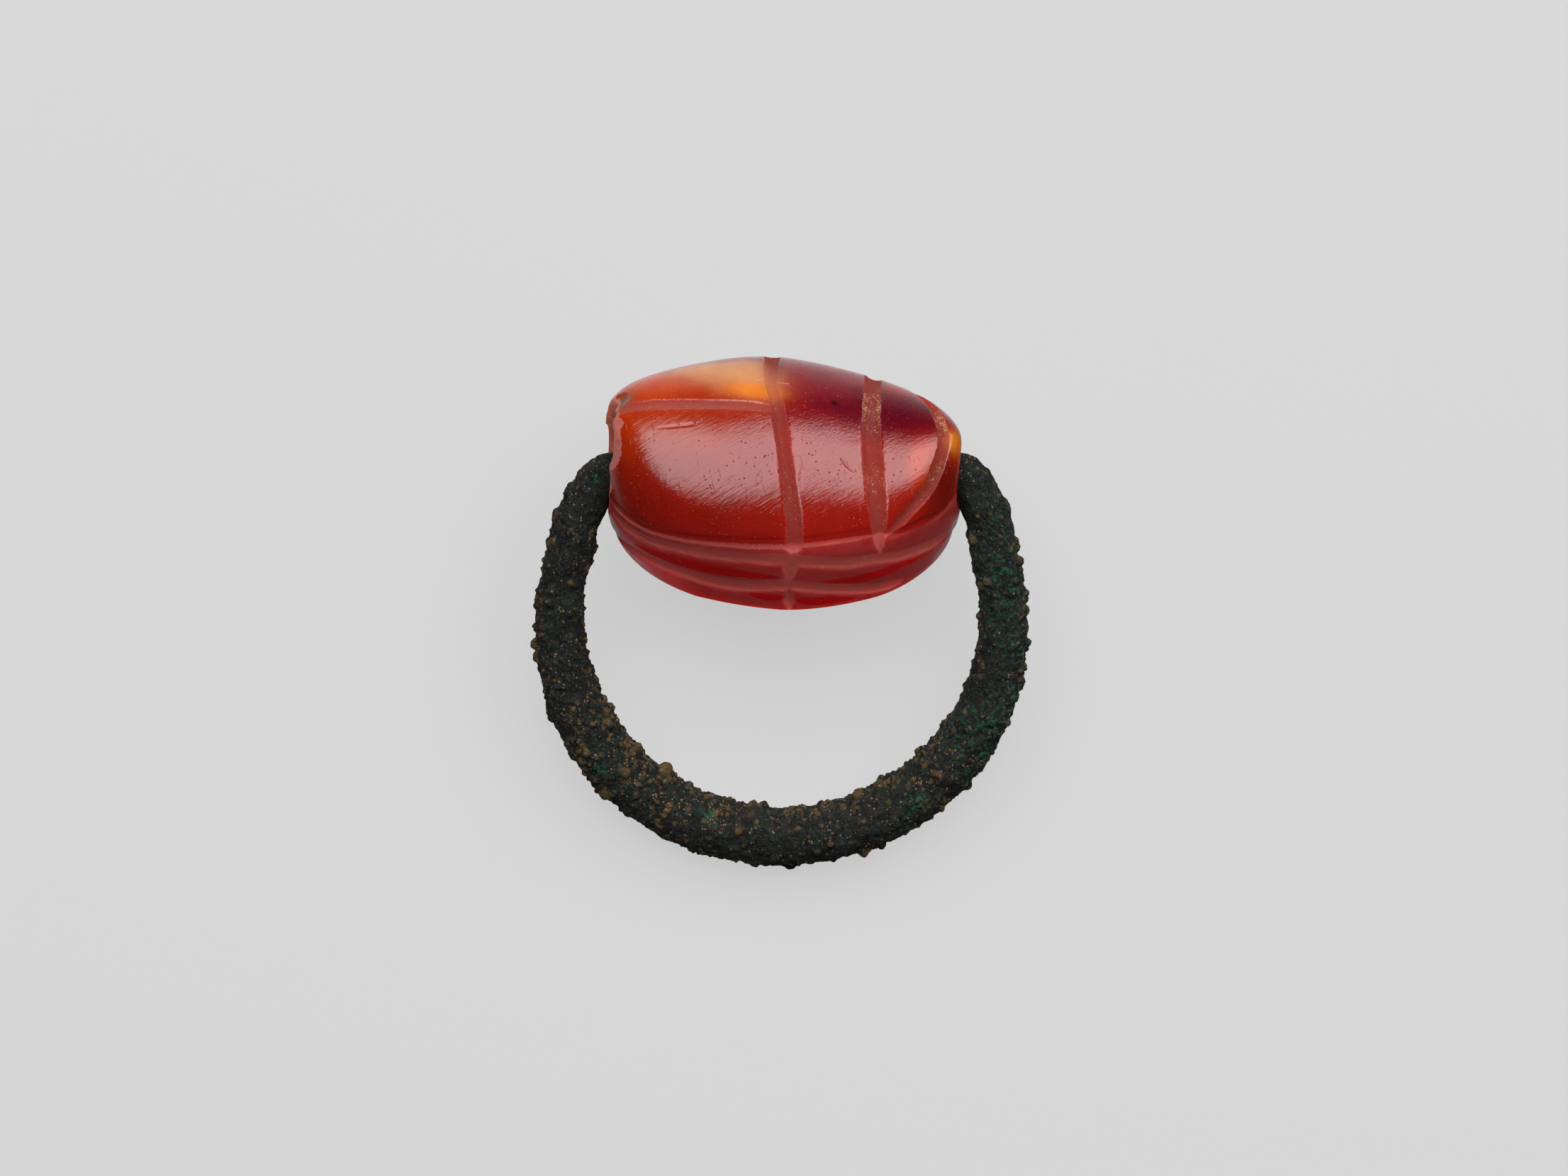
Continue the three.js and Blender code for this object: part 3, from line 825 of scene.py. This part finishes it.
def carnelian_material(settings):
    """Clear, mottled stone with ground cuts, broken edges, satin sides, scratches, pits and earth, its tint
    holding painted glow and its frost below the ledge lightened as painted light.
    """
    material = bpy.data.materials.new("polished_carnelian")
    n = Nodes(material)
    shader = n.tree.nodes["Principled BSDF"]
    mottled = n.add("ShaderNodeHueSaturation")
    n.feed(mottled.inputs["Color"], n.attribute("tint", "Color"))
    n.feed(mottled.inputs["Value"], n.ramp(n.noise(STONE_SCALES["mottle"], detail=3), 0.3, 0.7, 0.92, 1.08))

    cut_edge = n.ramp(n.noise(STONE_SCALES["cut_edge"], detail=3), 0.2, 0.8, -0.05, 0.05)
    frosted = n.ramp(n.plus(n.attribute("frost"), cut_edge), -0.015, 0.02)
    broken_edge = n.ramp(n.noise(STONE_SCALES["broken_edge"]), 0.2, 0.8, -0.08, 0.08)
    broken = n.ramp(n.plus(n.attribute("broken"), broken_edge), -0.02, 0.03)
    ground = n.times(frosted, n.attribute("matt"))
    matt = n.maths("MAXIMUM", ground, broken)
    sides = n.attribute("satin")
    satin = n.times(sides, n.ramp(n.noise(STONE_SCALES["satin"], detail=3), 0.3, 0.6, 0.55, 1.0))
    grain = n.noise(STONE_SCALES["grain"], detail=3, roughness=0.7)

    polished = n.mix(n.times(satin, 0.5), mottled.outputs["Color"], rgba(settings.satin_colour))
    # Below the ledge the frosted cuts take a lighter colour: painted light for lines that face away from the
    # lamps, and the ledge's painted highlight
    frost_colour = n.mix(sides, rgba(settings.frost_colour), rgba(settings.leg_frost_and_painted_light))
    frost_colour = n.mix(n.ramp(grain, 0.35, 0.7, 0.0, 0.35), frost_colour, rgba(settings.broken_colour))
    veiled = n.mix(n.times(ground, n.ramp(sides, 0, 1, 0.42, 0.7)), polished, frost_colour)
    veiled = n.mix(n.times(broken, 0.75), veiled, rgba(settings.broken_colour))
    amount = n.attribute("dirt")
    clumps = n.ramp(n.noise(STONE_SCALES["clumps"], detail=2), 0.3, 0.7, 0.04, -0.04)
    flecks = n.plus(n.noise(STONE_SCALES["flecks"], detail=4, roughness=0.8), n.times(clumps, -1.0))
    specks = n.ramp(flecks, n.ramp(amount, 0, 1, 0.64, 0.52), n.ramp(amount, 0, 1, 0.69, 0.58))
    dirt = n.times(specks, matt)
    n.feed(shader.inputs["Base Color"], n.mix(dirt, veiled, rgba(settings.dirt_colour)))

    streaks = n.noise(1.0, detail=3, roughness=0.6, vector=n.streaked(*STREAKS))
    hairlines = n.ramp(n.noise(1.0, detail=2, vector=n.streaked(*HAIRLINES)), 0.66, 0.74)
    scratches = n.maths("MAXIMUM", n.ramp(streaks, 0.6, 0.72), hairlines)
    pits = n.ramp(n.cells(STONE_SCALES["pits"])["Distance"], 0.05, 0.17, 1.0, 0.0)
    pits = n.times(pits, n.ramp(n.noise(STONE_SCALES["pitted"]), 0.4, 0.6))
    rough = n.plus(settings.polish, n.times(scratches, 0.14))
    rough = n.plus(rough, n.times(pits, 0.4))
    rough = n.plus(rough, n.times(satin, 0.3))
    rough = n.plus(n.times(rough, n.maths("SUBTRACT", 1.0, matt)), n.times(matt, 0.85))
    n.feed(shader.inputs["Roughness"], n.maths("ADD", rough, n.times(dirt, 0.3), clamp=True))

    relief = n.bump(n.noise(STONE_SCALES["uneven"], detail=5), STONE_RELIEF["uneven"], 0.7)
    relief = n.bump(streaks, STONE_RELIEF["streaks"], 0.8, relief)
    relief = n.bump(hairlines, STONE_RELIEF["hairlines"], 0.7, relief)
    relief = n.bump(pits, STONE_RELIEF["pits"], 0.8, relief)
    n.feed(shader.inputs["Normal"], n.bump(n.times(grain, matt), STONE_RELIEF["grain"], 0.6, relief))
    n.feed(shader.inputs["Specular IOR Level"], n.maths("SUBTRACT", 0.5, n.times(ground, 0.3)))
    shader.inputs["IOR"].default_value = CARNELIAN_IOR
    shader.inputs["Subsurface Weight"].default_value = SUBSURFACE_WEIGHT
    shader.inputs["Subsurface Radius"].default_value = SUBSURFACE_RADIUS
    shader.inputs["Subsurface Scale"].default_value = SUBSURFACE_SCALE
    return material


def bronze_material(settings):
    """Dark crust of sandy pebbles with brown, ochre and pale grains and green copper salts; its grey sand
    and pale grains also paint glints, and its hollows are painted darker.
    """
    material = bpy.data.materials.new("corroded_bronze")
    n = Nodes(material)
    shader = n.tree.nodes["Principled BSDF"]
    earth = n.attribute("earth")
    sandy = n.noise(CRUST_SCALES["sand"], detail=4, roughness=0.7)
    patches = n.ramp(n.noise(CRUST_SCALES["patches"], detail=4, roughness=0.6), 0.4, 0.65)
    base = n.mix(patches, rgba(settings.crust_dark), rgba(settings.crust_green))
    # Grey where the sand relief stands high, from the same noise as its bump: sand colour and painted glints
    # on the raised grains, painted shade in the low spots
    base = n.mix(n.ramp(sandy, 0.52, 0.68), base, rgba(settings.sand_grey_and_painted_glints))

    large, large_tone, _ = n.grains(CRUST_SCALES["large_grains"])
    small, small_tone, small_other = n.grains(CRUST_SCALES["small_grains"])
    round_large = n.ramp(large, 0.3, 0.5, 1.0, 0.0)
    round_small = n.ramp(small, 0.25, 0.5, 1.0, 0.0)
    brown = n.times(n.maths("LESS_THAN", large_tone, n.times(earth, BROWN_SHARE)), round_large)
    brown = n.maths("MAXIMUM", brown, n.attribute("granule"), clamp=True)
    # Granules are less brown where the sand lies low: painted shade in the hollows
    brown = n.times(brown, n.ramp(sandy, 0.25, 0.6, 0.5, 1.0))
    base = n.mix(brown, base, rgba(settings.granule_colour))
    clumped = n.ramp(n.noise(CRUST_SCALES["clumps"], detail=2), 0.4, 0.62)
    gold = n.maths("LESS_THAN", small_tone, n.times(n.times(earth, clumped), GOLD_SHARE))
    base = n.mix(n.times(gold, round_small), base, rgba(settings.earth_colour))
    # Pale grains of sand, also standing for painted glints on the crust
    pale = n.times(n.maths("GREATER_THAN", small_other, PALE_FROM), round_small)
    base = n.mix(pale, base, rgba(settings.pale_grains_painted_glints))
    verdigris = n.ramp(n.noise(CRUST_SCALES["verdigris"], detail=4, roughness=0.7), 0.5, 0.6)
    base = n.mix(n.times(verdigris, n.attribute("verdigris")), base, rgba(settings.green_colour))
    n.feed(shader.inputs["Base Color"], base)
    n.feed(shader.inputs["Roughness"], n.ramp(sandy, 0.3, 0.8, 0.9, 0.6))

    relief = n.bump(n.noise(CRUST_SCALES["coarse"], detail=6, roughness=0.75), CRUST_RELIEF["coarse"])
    relief = n.bump(round_large, CRUST_RELIEF["large_grains"], 0.7, relief)
    relief = n.bump(round_small, CRUST_RELIEF["small_grains"], 0.8, relief)
    n.feed(shader.inputs["Normal"], n.bump(sandy, CRUST_RELIEF["sand"], 0.8, relief))
    shader.inputs["Specular IOR Level"].default_value = 0.2
    return material


def floor_material(settings):
    material = bpy.data.materials.new("pale_floor")
    material.use_nodes = True
    for name, value in (("Base Color", rgba(settings.floor_colour)), ("Roughness", 0.9),
                        ("Specular IOR Level", 0.1), ("Emission Color", (1, 1, 1, 1)),
                        ("Emission Strength", settings.floor_glow)):
        material.node_tree.nodes["Principled BSDF"].inputs[name].default_value = value
    return material


def colour(name, description, default):
    return FloatVectorProperty(name=name, description=description, default=default, size=3, subtype="COLOR")


def length(name, description, default):
    return FloatProperty(name=name, description=description, default=default, unit="LENGTH", precision=6)


class ScarabSettings(bpy.types.PropertyGroup):
    half_length: length("Half length", "Half the stone's length along the bore", 0.00835)
    half_width: length("Half width", "Half the stone's width across the bore", 0.00582)
    back_height: length("Back height", "From the bore to the top of the back", 0.0045)
    base_depth: length("Base depth", "From the bore to the flat base", 0.0034)
    cut_depth: FloatProperty(name="Cut depth", description="How deep all the cuts are, against those seen",
                             default=1.0, min=0.2, max=2.0)
    polish: FloatProperty(name="Polish roughness", description="Roughness of the polished faces",
                          default=0.14, min=0.0, max=1.0)
    body_colour: colour("Body", "Colour of the clear carnelian", (0.195, 0.0065, 0.0022))
    frost_colour: colour("Frost", "Colour of the ground cuts", (0.19, 0.018, 0.013))
    # Frost of the cuts below the ledge, lightened as painted light because they face away from the lamps
    leg_frost_and_painted_light: colour("Leg lines", "Colour of the ground lines of the legs", (0.5, 0.085, 0.075))
    satin_colour: colour("Satin", "Colour of the less polished sides", (0.36, 0.04, 0.042))
    broken_colour: colour("Broken", "Colour of the broken edges", (0.34, 0.12, 0.10))
    dirt_colour: colour("Dirt", "Colour of the earth left in the cuts", (0.36, 0.2, 0.09))


class HoopSettings(bpy.types.PropertyGroup):
    crust_height: length("Crust height", "Height of the corrosion crust's lumps", 0.00011)
    granules: IntProperty(name="Granules", description="How many granules stand on the crust",
                          default=1300, min=0, max=6000)
    crust_dark: colour("Dark crust", "Darkest colour of the crust", (0.004, 0.0042, 0.0038))
    crust_green: colour("Green crust", "Green-black colour of the crust", (0.0096, 0.0104, 0.0088))
    # Grey of the raised sand, also painted glints
    sand_grey_and_painted_glints: colour("Grey crust", "Grey sandy colour of the crust", (0.042, 0.042, 0.039))
    granule_colour: colour("Granule", "Brown colour of the granules", (0.086, 0.051, 0.019))
    earth_colour: colour("Earth", "Ochre colour of the earth specks", (0.24, 0.125, 0.035))
    # Palest grains, also painted glints
    pale_grains_painted_glints: colour("Pale grains", "Colour of the palest grains of sand", (0.14, 0.145, 0.13))
    green_colour: colour("Verdigris", "Green of the copper salts", (0.008, 0.11, 0.055))


class StageSettings(bpy.types.PropertyGroup):
    floor_colour: colour("Floor", "Colour of the pale floor", (0.08, 0.08, 0.08))
    floor_glow: FloatProperty(name="Floor glow", description="How much the floor glows by itself",
                              default=0.55, min=0.0, max=2.0)
    softbox_power: FloatProperty(name="Softbox power", description="Power of the large softbox",
                                 default=3.1, unit="POWER")
    window_power: FloatProperty(name="Window power", description="Power of the light that the stone mirrors",
                                default=7.7, unit="POWER")
    camera_distance: length("Camera distance", "From the bore to the camera", 0.4056)


class RING_OT_scarab(bpy.types.Operator):
    """Model the carved, bored and polished stone"""

    bl_idname = "ring.scarab"
    bl_label = "Carve the scarab"

    def execute(self, context):
        settings = context.scene.ring_scarab
        shape = StoneShape(settings)
        degrees = stone_columns()
        x = stone_rows(shape, degrees)
        columns, rows = x.shape
        rings = rows + 2 * FUNNEL_ROWS + BORE_ROWS
        deselect_all()
        bpy.ops.mesh.primitive_grid_add(x_subdivisions=columns, y_subdivisions=rings, size=2,
                                        location=(0, 0, 0))
        scarab = context.active_object
        scarab.name = "carved_scarab"
        corners = np.zeros(len(scarab.data.vertices) * 3)
        scarab.data.vertices.foreach_get("co", corners)
        place = np.rint((corners.reshape(-1, 3)[:, :2] + 1) / 2 * (columns, rings)).astype(int)
        place = place[:, 0] % columns * rings + place[:, 1] % rings

        around = np.repeat(degrees[:, None], rows, axis=1)
        flat_degrees = around.ravel()
        smooth = shape.point(x, around)
        flat = smooth.reshape(-1, 3)
        depth, frost, matt = carve(shape, flat, flat_degrees, settings.cut_depth)
        chip_depth, broken = chip_off(shape, flat)
        to_tail = np.linalg.norm(smooth - smooth[:, :1], axis=2).ravel()
        to_head = np.linalg.norm(smooth - smooth[:, -1:], axis=2).ravel()
        band = NARROWEST_BAND + BAND_GROWTH * np.interp(flat_degrees, *np.array(BREAK_BAND).T)
        bevel = (TAIL_BEVEL * band * np.clip(1 - to_tail / band, 0, 1)
                 + HEAD_BEVEL * np.clip(1 - to_head / HEAD_BEVEL_REACH, 0, 1))
        sunk = np.maximum(depth, chip_depth) + ripples(flat, WAVE_SEED, SURFACE_WAVES) + bevel
        points = (flat - shape.normal(x, around).reshape(-1, 3) * sunk[:, None]).reshape(columns, rows, 3)
        points = round_base_edge(points, degrees)

        wander = ripples(flat, RIM_SEED, RIM_WAVES)
        broken = np.maximum(broken, np.maximum(band + TAIL_BAND_WANDER * wander - to_tail,
                                               HEAD_BAND + HEAD_BAND_WANDER * wander - to_head))
        below = np.where(flat_degrees < 90, 180 - flat_degrees, flat_degrees)
        satin = np.clip((below - np.interp(flat[:, 0], *np.array(LEDGE).T)) / SATIN_FADE, 0, 1)
        satin = satin * np.clip((SATIN_END - below) / SATIN_END_FADE, 0, 1)
        pools = clear_pools(shape, flat)
        satin = satin * (1 - pools)

        inner = [self.funnel(points[:, -1], 1, shape), self.bore(points[:, -1], points[:, 0], shape),
                 self.funnel(points[:, 0], -1, shape)[:, ::-1]]
        inner = np.concatenate(inner, axis=1)
        whole = np.concatenate([points, inner], axis=1)

        def with_inner(values, fill):
            filled = np.full(inner.shape[:2], fill)
            return np.concatenate([values.reshape(columns, rows), filled], axis=1).ravel()[place]

        dirt = add_spots(np.full(len(flat), LEAST_DIRT), DIRT_SPOTS,
                         lambda x, degrees: np.linalg.norm(flat - shape.point(x, degrees), axis=1))
        # The zone colours, kept in the tint, include the painted glow of light shining through the stone
        colours = zone_colours(shape, flat, settings.body_colour)
        colours += POOL_STRENGTH * pools[:, None] * (np.array(POOL) - colours)
        tint = np.concatenate([colours.reshape(columns, rows, 3),
                               np.tile(np.array(CRIMSON), (*inner.shape[:2], 1))], axis=1)
        set_points(scarab, to_row_frame(whole.reshape(-1, 3), -STONE_LEAN)[place])
        for name, values, in_bore in (("frost", frost, FAR_OUTSIDE), ("matt", matt, 1.0),
                                      ("broken", broken, 0.3), ("dirt", dirt, 1.0), ("satin", satin, 0.0)):
            add_values(scarab, name, with_inner(values, in_bore))
        add_colours(scarab, "tint", tint.reshape(-1, 3)[place])
        close_and_smooth()
        scarab.data.materials.append(carnelian_material(settings))
        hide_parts("scarab")
        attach(scarab, "scarab")
        return {"FINISHED"}

    def funnel(self, rim, end, shape):
        """Rows from the rim down the chipped mouth to the bore."""
        angle = np.arctan2(rim[:, 2], rim[:, 1])
        radius = np.hypot(rim[:, 1], rim[:, 2])
        share = (np.arange(FUNNEL_ROWS) + 1) / FUNNEL_ROWS
        floor_x = end * (shape.half_length - MOUTH_DEPTH)
        along = rim[:, :1] + (floor_x - rim[:, :1]) * share
        hollow = FUNNEL_HOLLOW * np.sin(math.pi * share)
        across = radius[:, None] + (BORE_RADIUS - radius[:, None]) * share + hollow
        return np.stack([along, across * np.cos(angle)[:, None], across * np.sin(angle)[:, None]], axis=2)

    def bore(self, head_rim, tail_rim, shape):
        """Rows along the bore from the head's mouth to the tail's."""
        head_angle = np.unwrap(np.arctan2(head_rim[:, 2], head_rim[:, 1]))
        tail_angle = np.unwrap(np.arctan2(tail_rim[:, 2], tail_rim[:, 1]))
        share = (np.arange(BORE_ROWS) + 1) / (BORE_ROWS + 1)
        reach = shape.half_length - MOUTH_DEPTH
        angle = head_angle[:, None] + (tail_angle - head_angle)[:, None] * share
        along = np.tile(reach * (1 - 2 * share), (len(angle), 1))
        return np.stack([along, BORE_RADIUS * np.cos(angle), BORE_RADIUS * np.sin(angle)], axis=2)


class RING_OT_hoop(bpy.types.Operator):
    """Model the bent bar with its corrosion crust and granules"""

    bl_idname = "ring.hoop"
    bl_label = "Forge the hoop"

    def execute(self, context):
        settings = context.scene.ring_hoop
        centre, radius, bend = self.course()
        deselect_all()
        bpy.ops.mesh.primitive_uv_sphere_add(segments=HOOP_SEGMENTS, ring_count=HOOP_RINGS + 1,
                                             location=(0, 0, 0))
        hoop = context.active_object
        hoop.name = "crusted_hoop"
        sphere = np.zeros(len(hoop.data.vertices) * 3)
        hoop.data.vertices.foreach_get("co", sphere)
        sphere = sphere.reshape(-1, 3)
        height = np.degrees(np.arccos(np.clip(sphere[:, 2], -1, 1)))
        ring = np.rint(height / 180 * (HOOP_RINGS + 1)).astype(int)
        pole = (ring == 0) | (ring == HOOP_RINGS + 1)
        index = np.clip(ring - 1, 0, HOOP_RINGS - 1)
        angle = np.arctan2(sphere[:, 1], sphere[:, 0])
        tangent = np.gradient(centre, axis=0)
        tangent /= np.linalg.norm(tangent, axis=1, keepdims=True)
        outward = np.stack([tangent[:, 1], -tangent[:, 0], np.zeros(len(tangent))], axis=1)
        up = np.array([0.0, 0.0, 1.0])
        direction = outward[index] * np.cos(angle)[:, None] + up * np.sin(angle)[:, None]
        direction[pole] = 0
        reach = np.abs(centre[:, 0])
        near_tip = np.abs(bend) > CRUST_FROM
        swell = smooth_step(reach, *SWELL_RISE) * (1 - smooth_step(reach, *SWELL_FALL)) * near_tip
        bare = np.where(near_tip, 1 - smooth_step(reach, *PIN_BARE), 0)
        bar = centre[index] + direction * (radius + CRUST_AT_STONE * swell)[index][:, None]
        facing_stone = near_tip[index] * (1 - smooth_step(np.abs(bar[:, 0]), *STONE_CLEARED))
        body = (1 - BARE_SHARE * bare)[index] * (1 - FACING_SHARE * facing_stone)
        lumps, tone = np.array([self.lump(p) for p in bar]).T
        height, grain_value = self.granules(bar, bend[index], angle, settings)
        earth = self.earth(bar, bend[index], angle)
        grain_value = np.maximum(grain_value, np.clip((BROWN_SHARE * earth - tone) * 8, 0, 1))
        rise = settings.crust_height * MM * body * lumps + height * body
        points = bar + direction * rise[:, None]
        set_points(hoop, to_row_frame(points, HOOP_TILT))
        add_values(hoop, "granule", grain_value)
        add_values(hoop, "earth", earth)
        add_values(hoop, "verdigris", self.spotted(bar, np.full(len(bar), LEAST_GREEN), GREEN_SPOTS))
        close_and_smooth()
        hoop.data.materials.append(bronze_material(settings))
        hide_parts("hoop")
        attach(hoop, "hoop")
        return {"FINISHED"}

    def course(self):
        """Centre, radius and angle from the bottom of the ring, at even steps from one tip to the other."""
        stations = np.array(HOOP_STATIONS, float)
        last = stations[-1, 0]
        degrees = np.arange(0, last + COURSE_STEP / 2, COURSE_STEP)
        step = np.clip(np.searchsorted(stations[:, 0], degrees), 1, len(stations) - 1)
        before, after = stations[step - 1], stations[step]
        share = (degrees - before[:, 0]) / (after[:, 0] - before[:, 0])
        size = before + (after - before) * smooth_step(share, 0, 1)[:, None]
        angle = np.radians(degrees)
        arc = np.stack([size[:, 1] * np.sin(angle), -BORE_TO_CENTRE - size[:, 1] * np.cos(angle)], axis=1)
        t = np.linspace(0, 1, BEND_SAMPLES)[1:, None]
        corner, end = np.array([PIN_CORNER, 0.0]), np.array([PIN_BEND_END, 0.0])
        bend = (1 - t) ** 2 * arc[-1] + 2 * t * (1 - t) * corner + t ** 2 * end
        pin_x = np.linspace(PIN_BEND_END, PIN_END, PIN_SAMPLES)[1:]
        pin = np.stack([pin_x, np.zeros(len(pin_x))], axis=1)
        half = np.concatenate([arc, bend, pin])
        bar = np.concatenate([size[:, 2], size[-1, 2] + (PIN_RADIUS - size[-1, 2]) * t[:, 0],
                              np.full(len(pin), PIN_RADIUS)])
        turned = np.concatenate([degrees, np.full(len(bend) + len(pin), last)])
        full = np.concatenate([(half * (-1, 1))[:0:-1], half])
        bar = np.concatenate([bar[:0:-1], bar])
        turned = np.concatenate([-turned[:0:-1], turned])
        full[:, 0] += HOOP_SHIFT * np.clip((last - np.abs(turned)) / TIP_SPAN, 0, 1)
        run = np.concatenate([[0], np.cumsum(np.linalg.norm(np.diff(full, axis=0), axis=1))])
        even = np.linspace(0, run[-1], HOOP_RINGS)
        centre = np.stack([np.interp(even, run, full[:, 0]), np.interp(even, run, full[:, 1]),
                           np.zeros(HOOP_RINGS)], axis=1)
        return centre, np.interp(even, run, bar), np.interp(even, run, turned)

    def lump(self, p):
        """Height of the crust there, and a number that differs from pebble to pebble."""
        total = 0
        for per_mm, height, shift in CRUST_WAVES:
            total += height * noise.noise(Vector(p) * per_mm + Vector(shift))
        for per_mm, height in PEBBLES:
            distances, places = noise.voronoi(Vector(p) * per_mm)
            total += height * (0.55 - min(distances[0] / 0.8, 1) ** 2)
            tone = noise.cell(places[0] + Vector((3, 5, 7))) % 1
        return total, tone

    def granules(self, bar, bend, angle, settings):
        """Height and brownness that the granules give each point of the bar."""
        draw = np.random.default_rng(GRANULE_SEED)
        tree = kdtree.KDTree(len(bar))
        for i, p in enumerate(bar):
            tree.insert(p, i)
        tree.balance()
        height = np.zeros(len(bar))
        brown = np.zeros(len(bar))
        edge = np.abs(np.cos(angle))
        weight = (0.12 + 1.1 * edge ** 4 + 0.7 * hump(bend, -45, 40) + 0.3 * hump(bend, 40, 35)
                  + 0.4 * hump(bend, -85, 25) * edge)
        clump = np.array([noise.noise(Vector(p) * 0.9 + Vector((0, 0, 4))) for p in bar])
        weight *= np.clip(0.5 + 2.2 * clump, 0.05, 2)
        weight *= np.clip((GRANULES_END - np.abs(bend)) / GRANULES_THIN, 0, 1)
        chosen = draw.choice(len(bar), size=settings.granules, p=weight / weight.sum())
        sizes = draw.lognormal(math.log(GRANULE_RADIUS), GRANULE_SPREAD, settings.granules)
        tones = draw.uniform(-0.5, 1, settings.granules)
        for where, size, tone in zip(chosen, np.clip(sizes, *GRANULE_LIMITS), tones):
            self.grow(tree, bar[where], size, GRANULE_HEIGHT * size, tone, height, brown)
        for x, y, size, tall, tone in LARGE_LUMPS:
            nearest = tree.find((x, y, 0.2))[0]
            self.grow(tree, np.array(nearest), size, tall, tone, height, brown)
        return height, brown

    def grow(self, tree, centre, size, tall, tone, height, brown):
        """Raises one dome, with its brownness, on the points around its centre."""
        for _, i, distance in tree.find_range(Vector(centre), size):
            dome = math.sqrt(1 - (distance / size) ** 2)
            height[i] = max(height[i], tall * dome)
            brown[i] = max(brown[i], tone * min(1.0, 1.6 * dome))

    def earth(self, bar, bend, angle):
        """Where brown and ochre grains are thickest: the inner and outer edges and the lower left."""
        edge = np.abs(np.cos(angle)) ** 3
        amount = 0.04 + 0.38 * edge + 0.45 * hump(bend, -48, 30) + 0.2 * hump(bend, 38, 25)
        return np.clip(self.spotted(bar, amount, OCHRE_SPOTS), 0, 1)

    def spotted(self, bar, amount, spots):
        return add_spots(amount, spots, lambda x, y: np.hypot(bar[:, 0] - x, bar[:, 1] - y))


class RING_OT_stage(bpy.types.Operator):
    """Set the pale floor, the soft lights and the camera"""

    bl_idname = "ring.stage"
    bl_label = "Set the stage"

    def execute(self, context):
        settings = context.scene.ring_stage
        deselect_all()
        bpy.ops.mesh.primitive_plane_add(size=FLOOR_SIZE, location=(0, 0, 0))
        floor = context.active_object
        floor.name = "floor"
        floor.data.materials.append(floor_material(settings))
        floor.visible_glossy = False
        softbox = self.area_light("softbox", *SOFTBOX, settings.softbox_power)
        softbox.visible_glossy = False
        window = self.area_light("window", *WINDOW, settings.window_power)
        window.visible_diffuse = False
        self.shape_window(window.data)
        context.scene.world = self.room()
        x, y, z = CAMERA_ABOVE
        bpy.ops.object.camera_add(location=(x, y, z + settings.camera_distance), rotation=(0, 0, 0))
        camera = context.active_object
        camera.name = "photo_camera"
        camera.data.lens = CAMERA_LENS
        camera.data.sensor_width = CAMERA_SENSOR
        camera.data.sensor_fit = "HORIZONTAL"
        camera.data.clip_start = 0.01
        camera.data.clip_end = 10
        context.scene.camera = camera
        context.scene.view_settings.view_transform = "Standard"
        context.scene.view_settings.look = "None"
        return {"FINISHED"}

    def room(self):
        """A dim room over pale paper, for what the stone mirrors."""
        world = bpy.data.worlds.new("dim_room")
        n = Nodes(world, place_output="Generated")
        lean = n.add("ShaderNodeVectorMath", operation="DOT_PRODUCT")
        n.feed(lean.inputs[0], n.place)
        n.feed(lean.inputs[1], ROOM_LEAN)
        n.feed(n.socket("Background", "Color"), n.ramp(lean.outputs["Value"], *ROOM_RAMP))
        return world

    def shape_window(self, light):
        """Soft slanting edges for the light that the polished stone mirrors."""
        n = Nodes(light, "ShaderNodeNewGeometry", "Position")
        split = n.add("ShaderNodeSeparateXYZ")
        n.feed(split.inputs[0], n.place)
        centre_y, centre_z = WINDOW_CENTRE
        height = n.maths("SUBTRACT", split.outputs["Z"], centre_z)
        across = n.maths("DIVIDE", split.outputs["X"], height)
        along = n.maths("DIVIDE", n.maths("SUBTRACT", split.outputs["Y"], centre_y), height)
        shape = 1.0
        for first, second, slant, dark, lit in ((along, across, *LOWER_EDGE), (across, along, *LEFT_EDGE),
                                                (along, across, *UPPER_EDGE)):
            shape = n.times(shape, n.ramp(n.maths("SUBTRACT", first, n.times(second, slant)), dark, lit))
        n.feed(n.socket("Emission", "Strength"), shape)

    def area_light(self, name, place, size, power):
        """A rectangular soft light aimed at the stone."""
        aim = (Vector(LIGHTS_AIM) - Vector(place)).to_track_quat("-Z", "Y").to_euler()
        bpy.ops.object.light_add(type="AREA", location=place, rotation=aim)
        light = bpy.context.active_object
        light.name = name
        light.data.shape = "RECTANGLE"
        light.data.size, light.data.size_y = size
        light.data.energy = power
        light.visible_camera = False
        return light


class RING_PT_panel(bpy.types.Panel):
    bl_label = "Scarab Ring"
    bl_idname = "RING_PT_panel"
    bl_space_type = "VIEW_3D"
    bl_region_type = "UI"
    bl_category = "Scarab Ring"

    def draw(self, context):
        for operator, group in STEPS:
            box = self.layout.box()
            box.operator(operator)
            settings = getattr(context.scene, group)
            for name in settings.__annotations__:
                box.prop(settings, name)


STEPS = (("ring.scarab", "ring_scarab"), ("ring.hoop", "ring_hoop"), ("ring.stage", "ring_stage"))
CLASSES = (ScarabSettings, HoopSettings, StageSettings, RING_OT_scarab, RING_OT_hoop, RING_OT_stage,
           RING_PT_panel)


def register():
    for cls in CLASSES:
        bpy.utils.register_class(cls)
    bpy.types.Scene.ring_scarab = PointerProperty(type=ScarabSettings)
    bpy.types.Scene.ring_hoop = PointerProperty(type=HoopSettings)
    bpy.types.Scene.ring_stage = PointerProperty(type=StageSettings)


def unregister():
    del bpy.types.Scene.ring_stage
    del bpy.types.Scene.ring_hoop
    del bpy.types.Scene.ring_scarab
    for cls in reversed(CLASSES):
        bpy.utils.unregister_class(cls)


def main():
    register()
    bpy.ops.ring.scarab()
    bpy.ops.ring.hoop()
    bpy.ops.ring.stage()


if __name__ == "__main__":
    main()
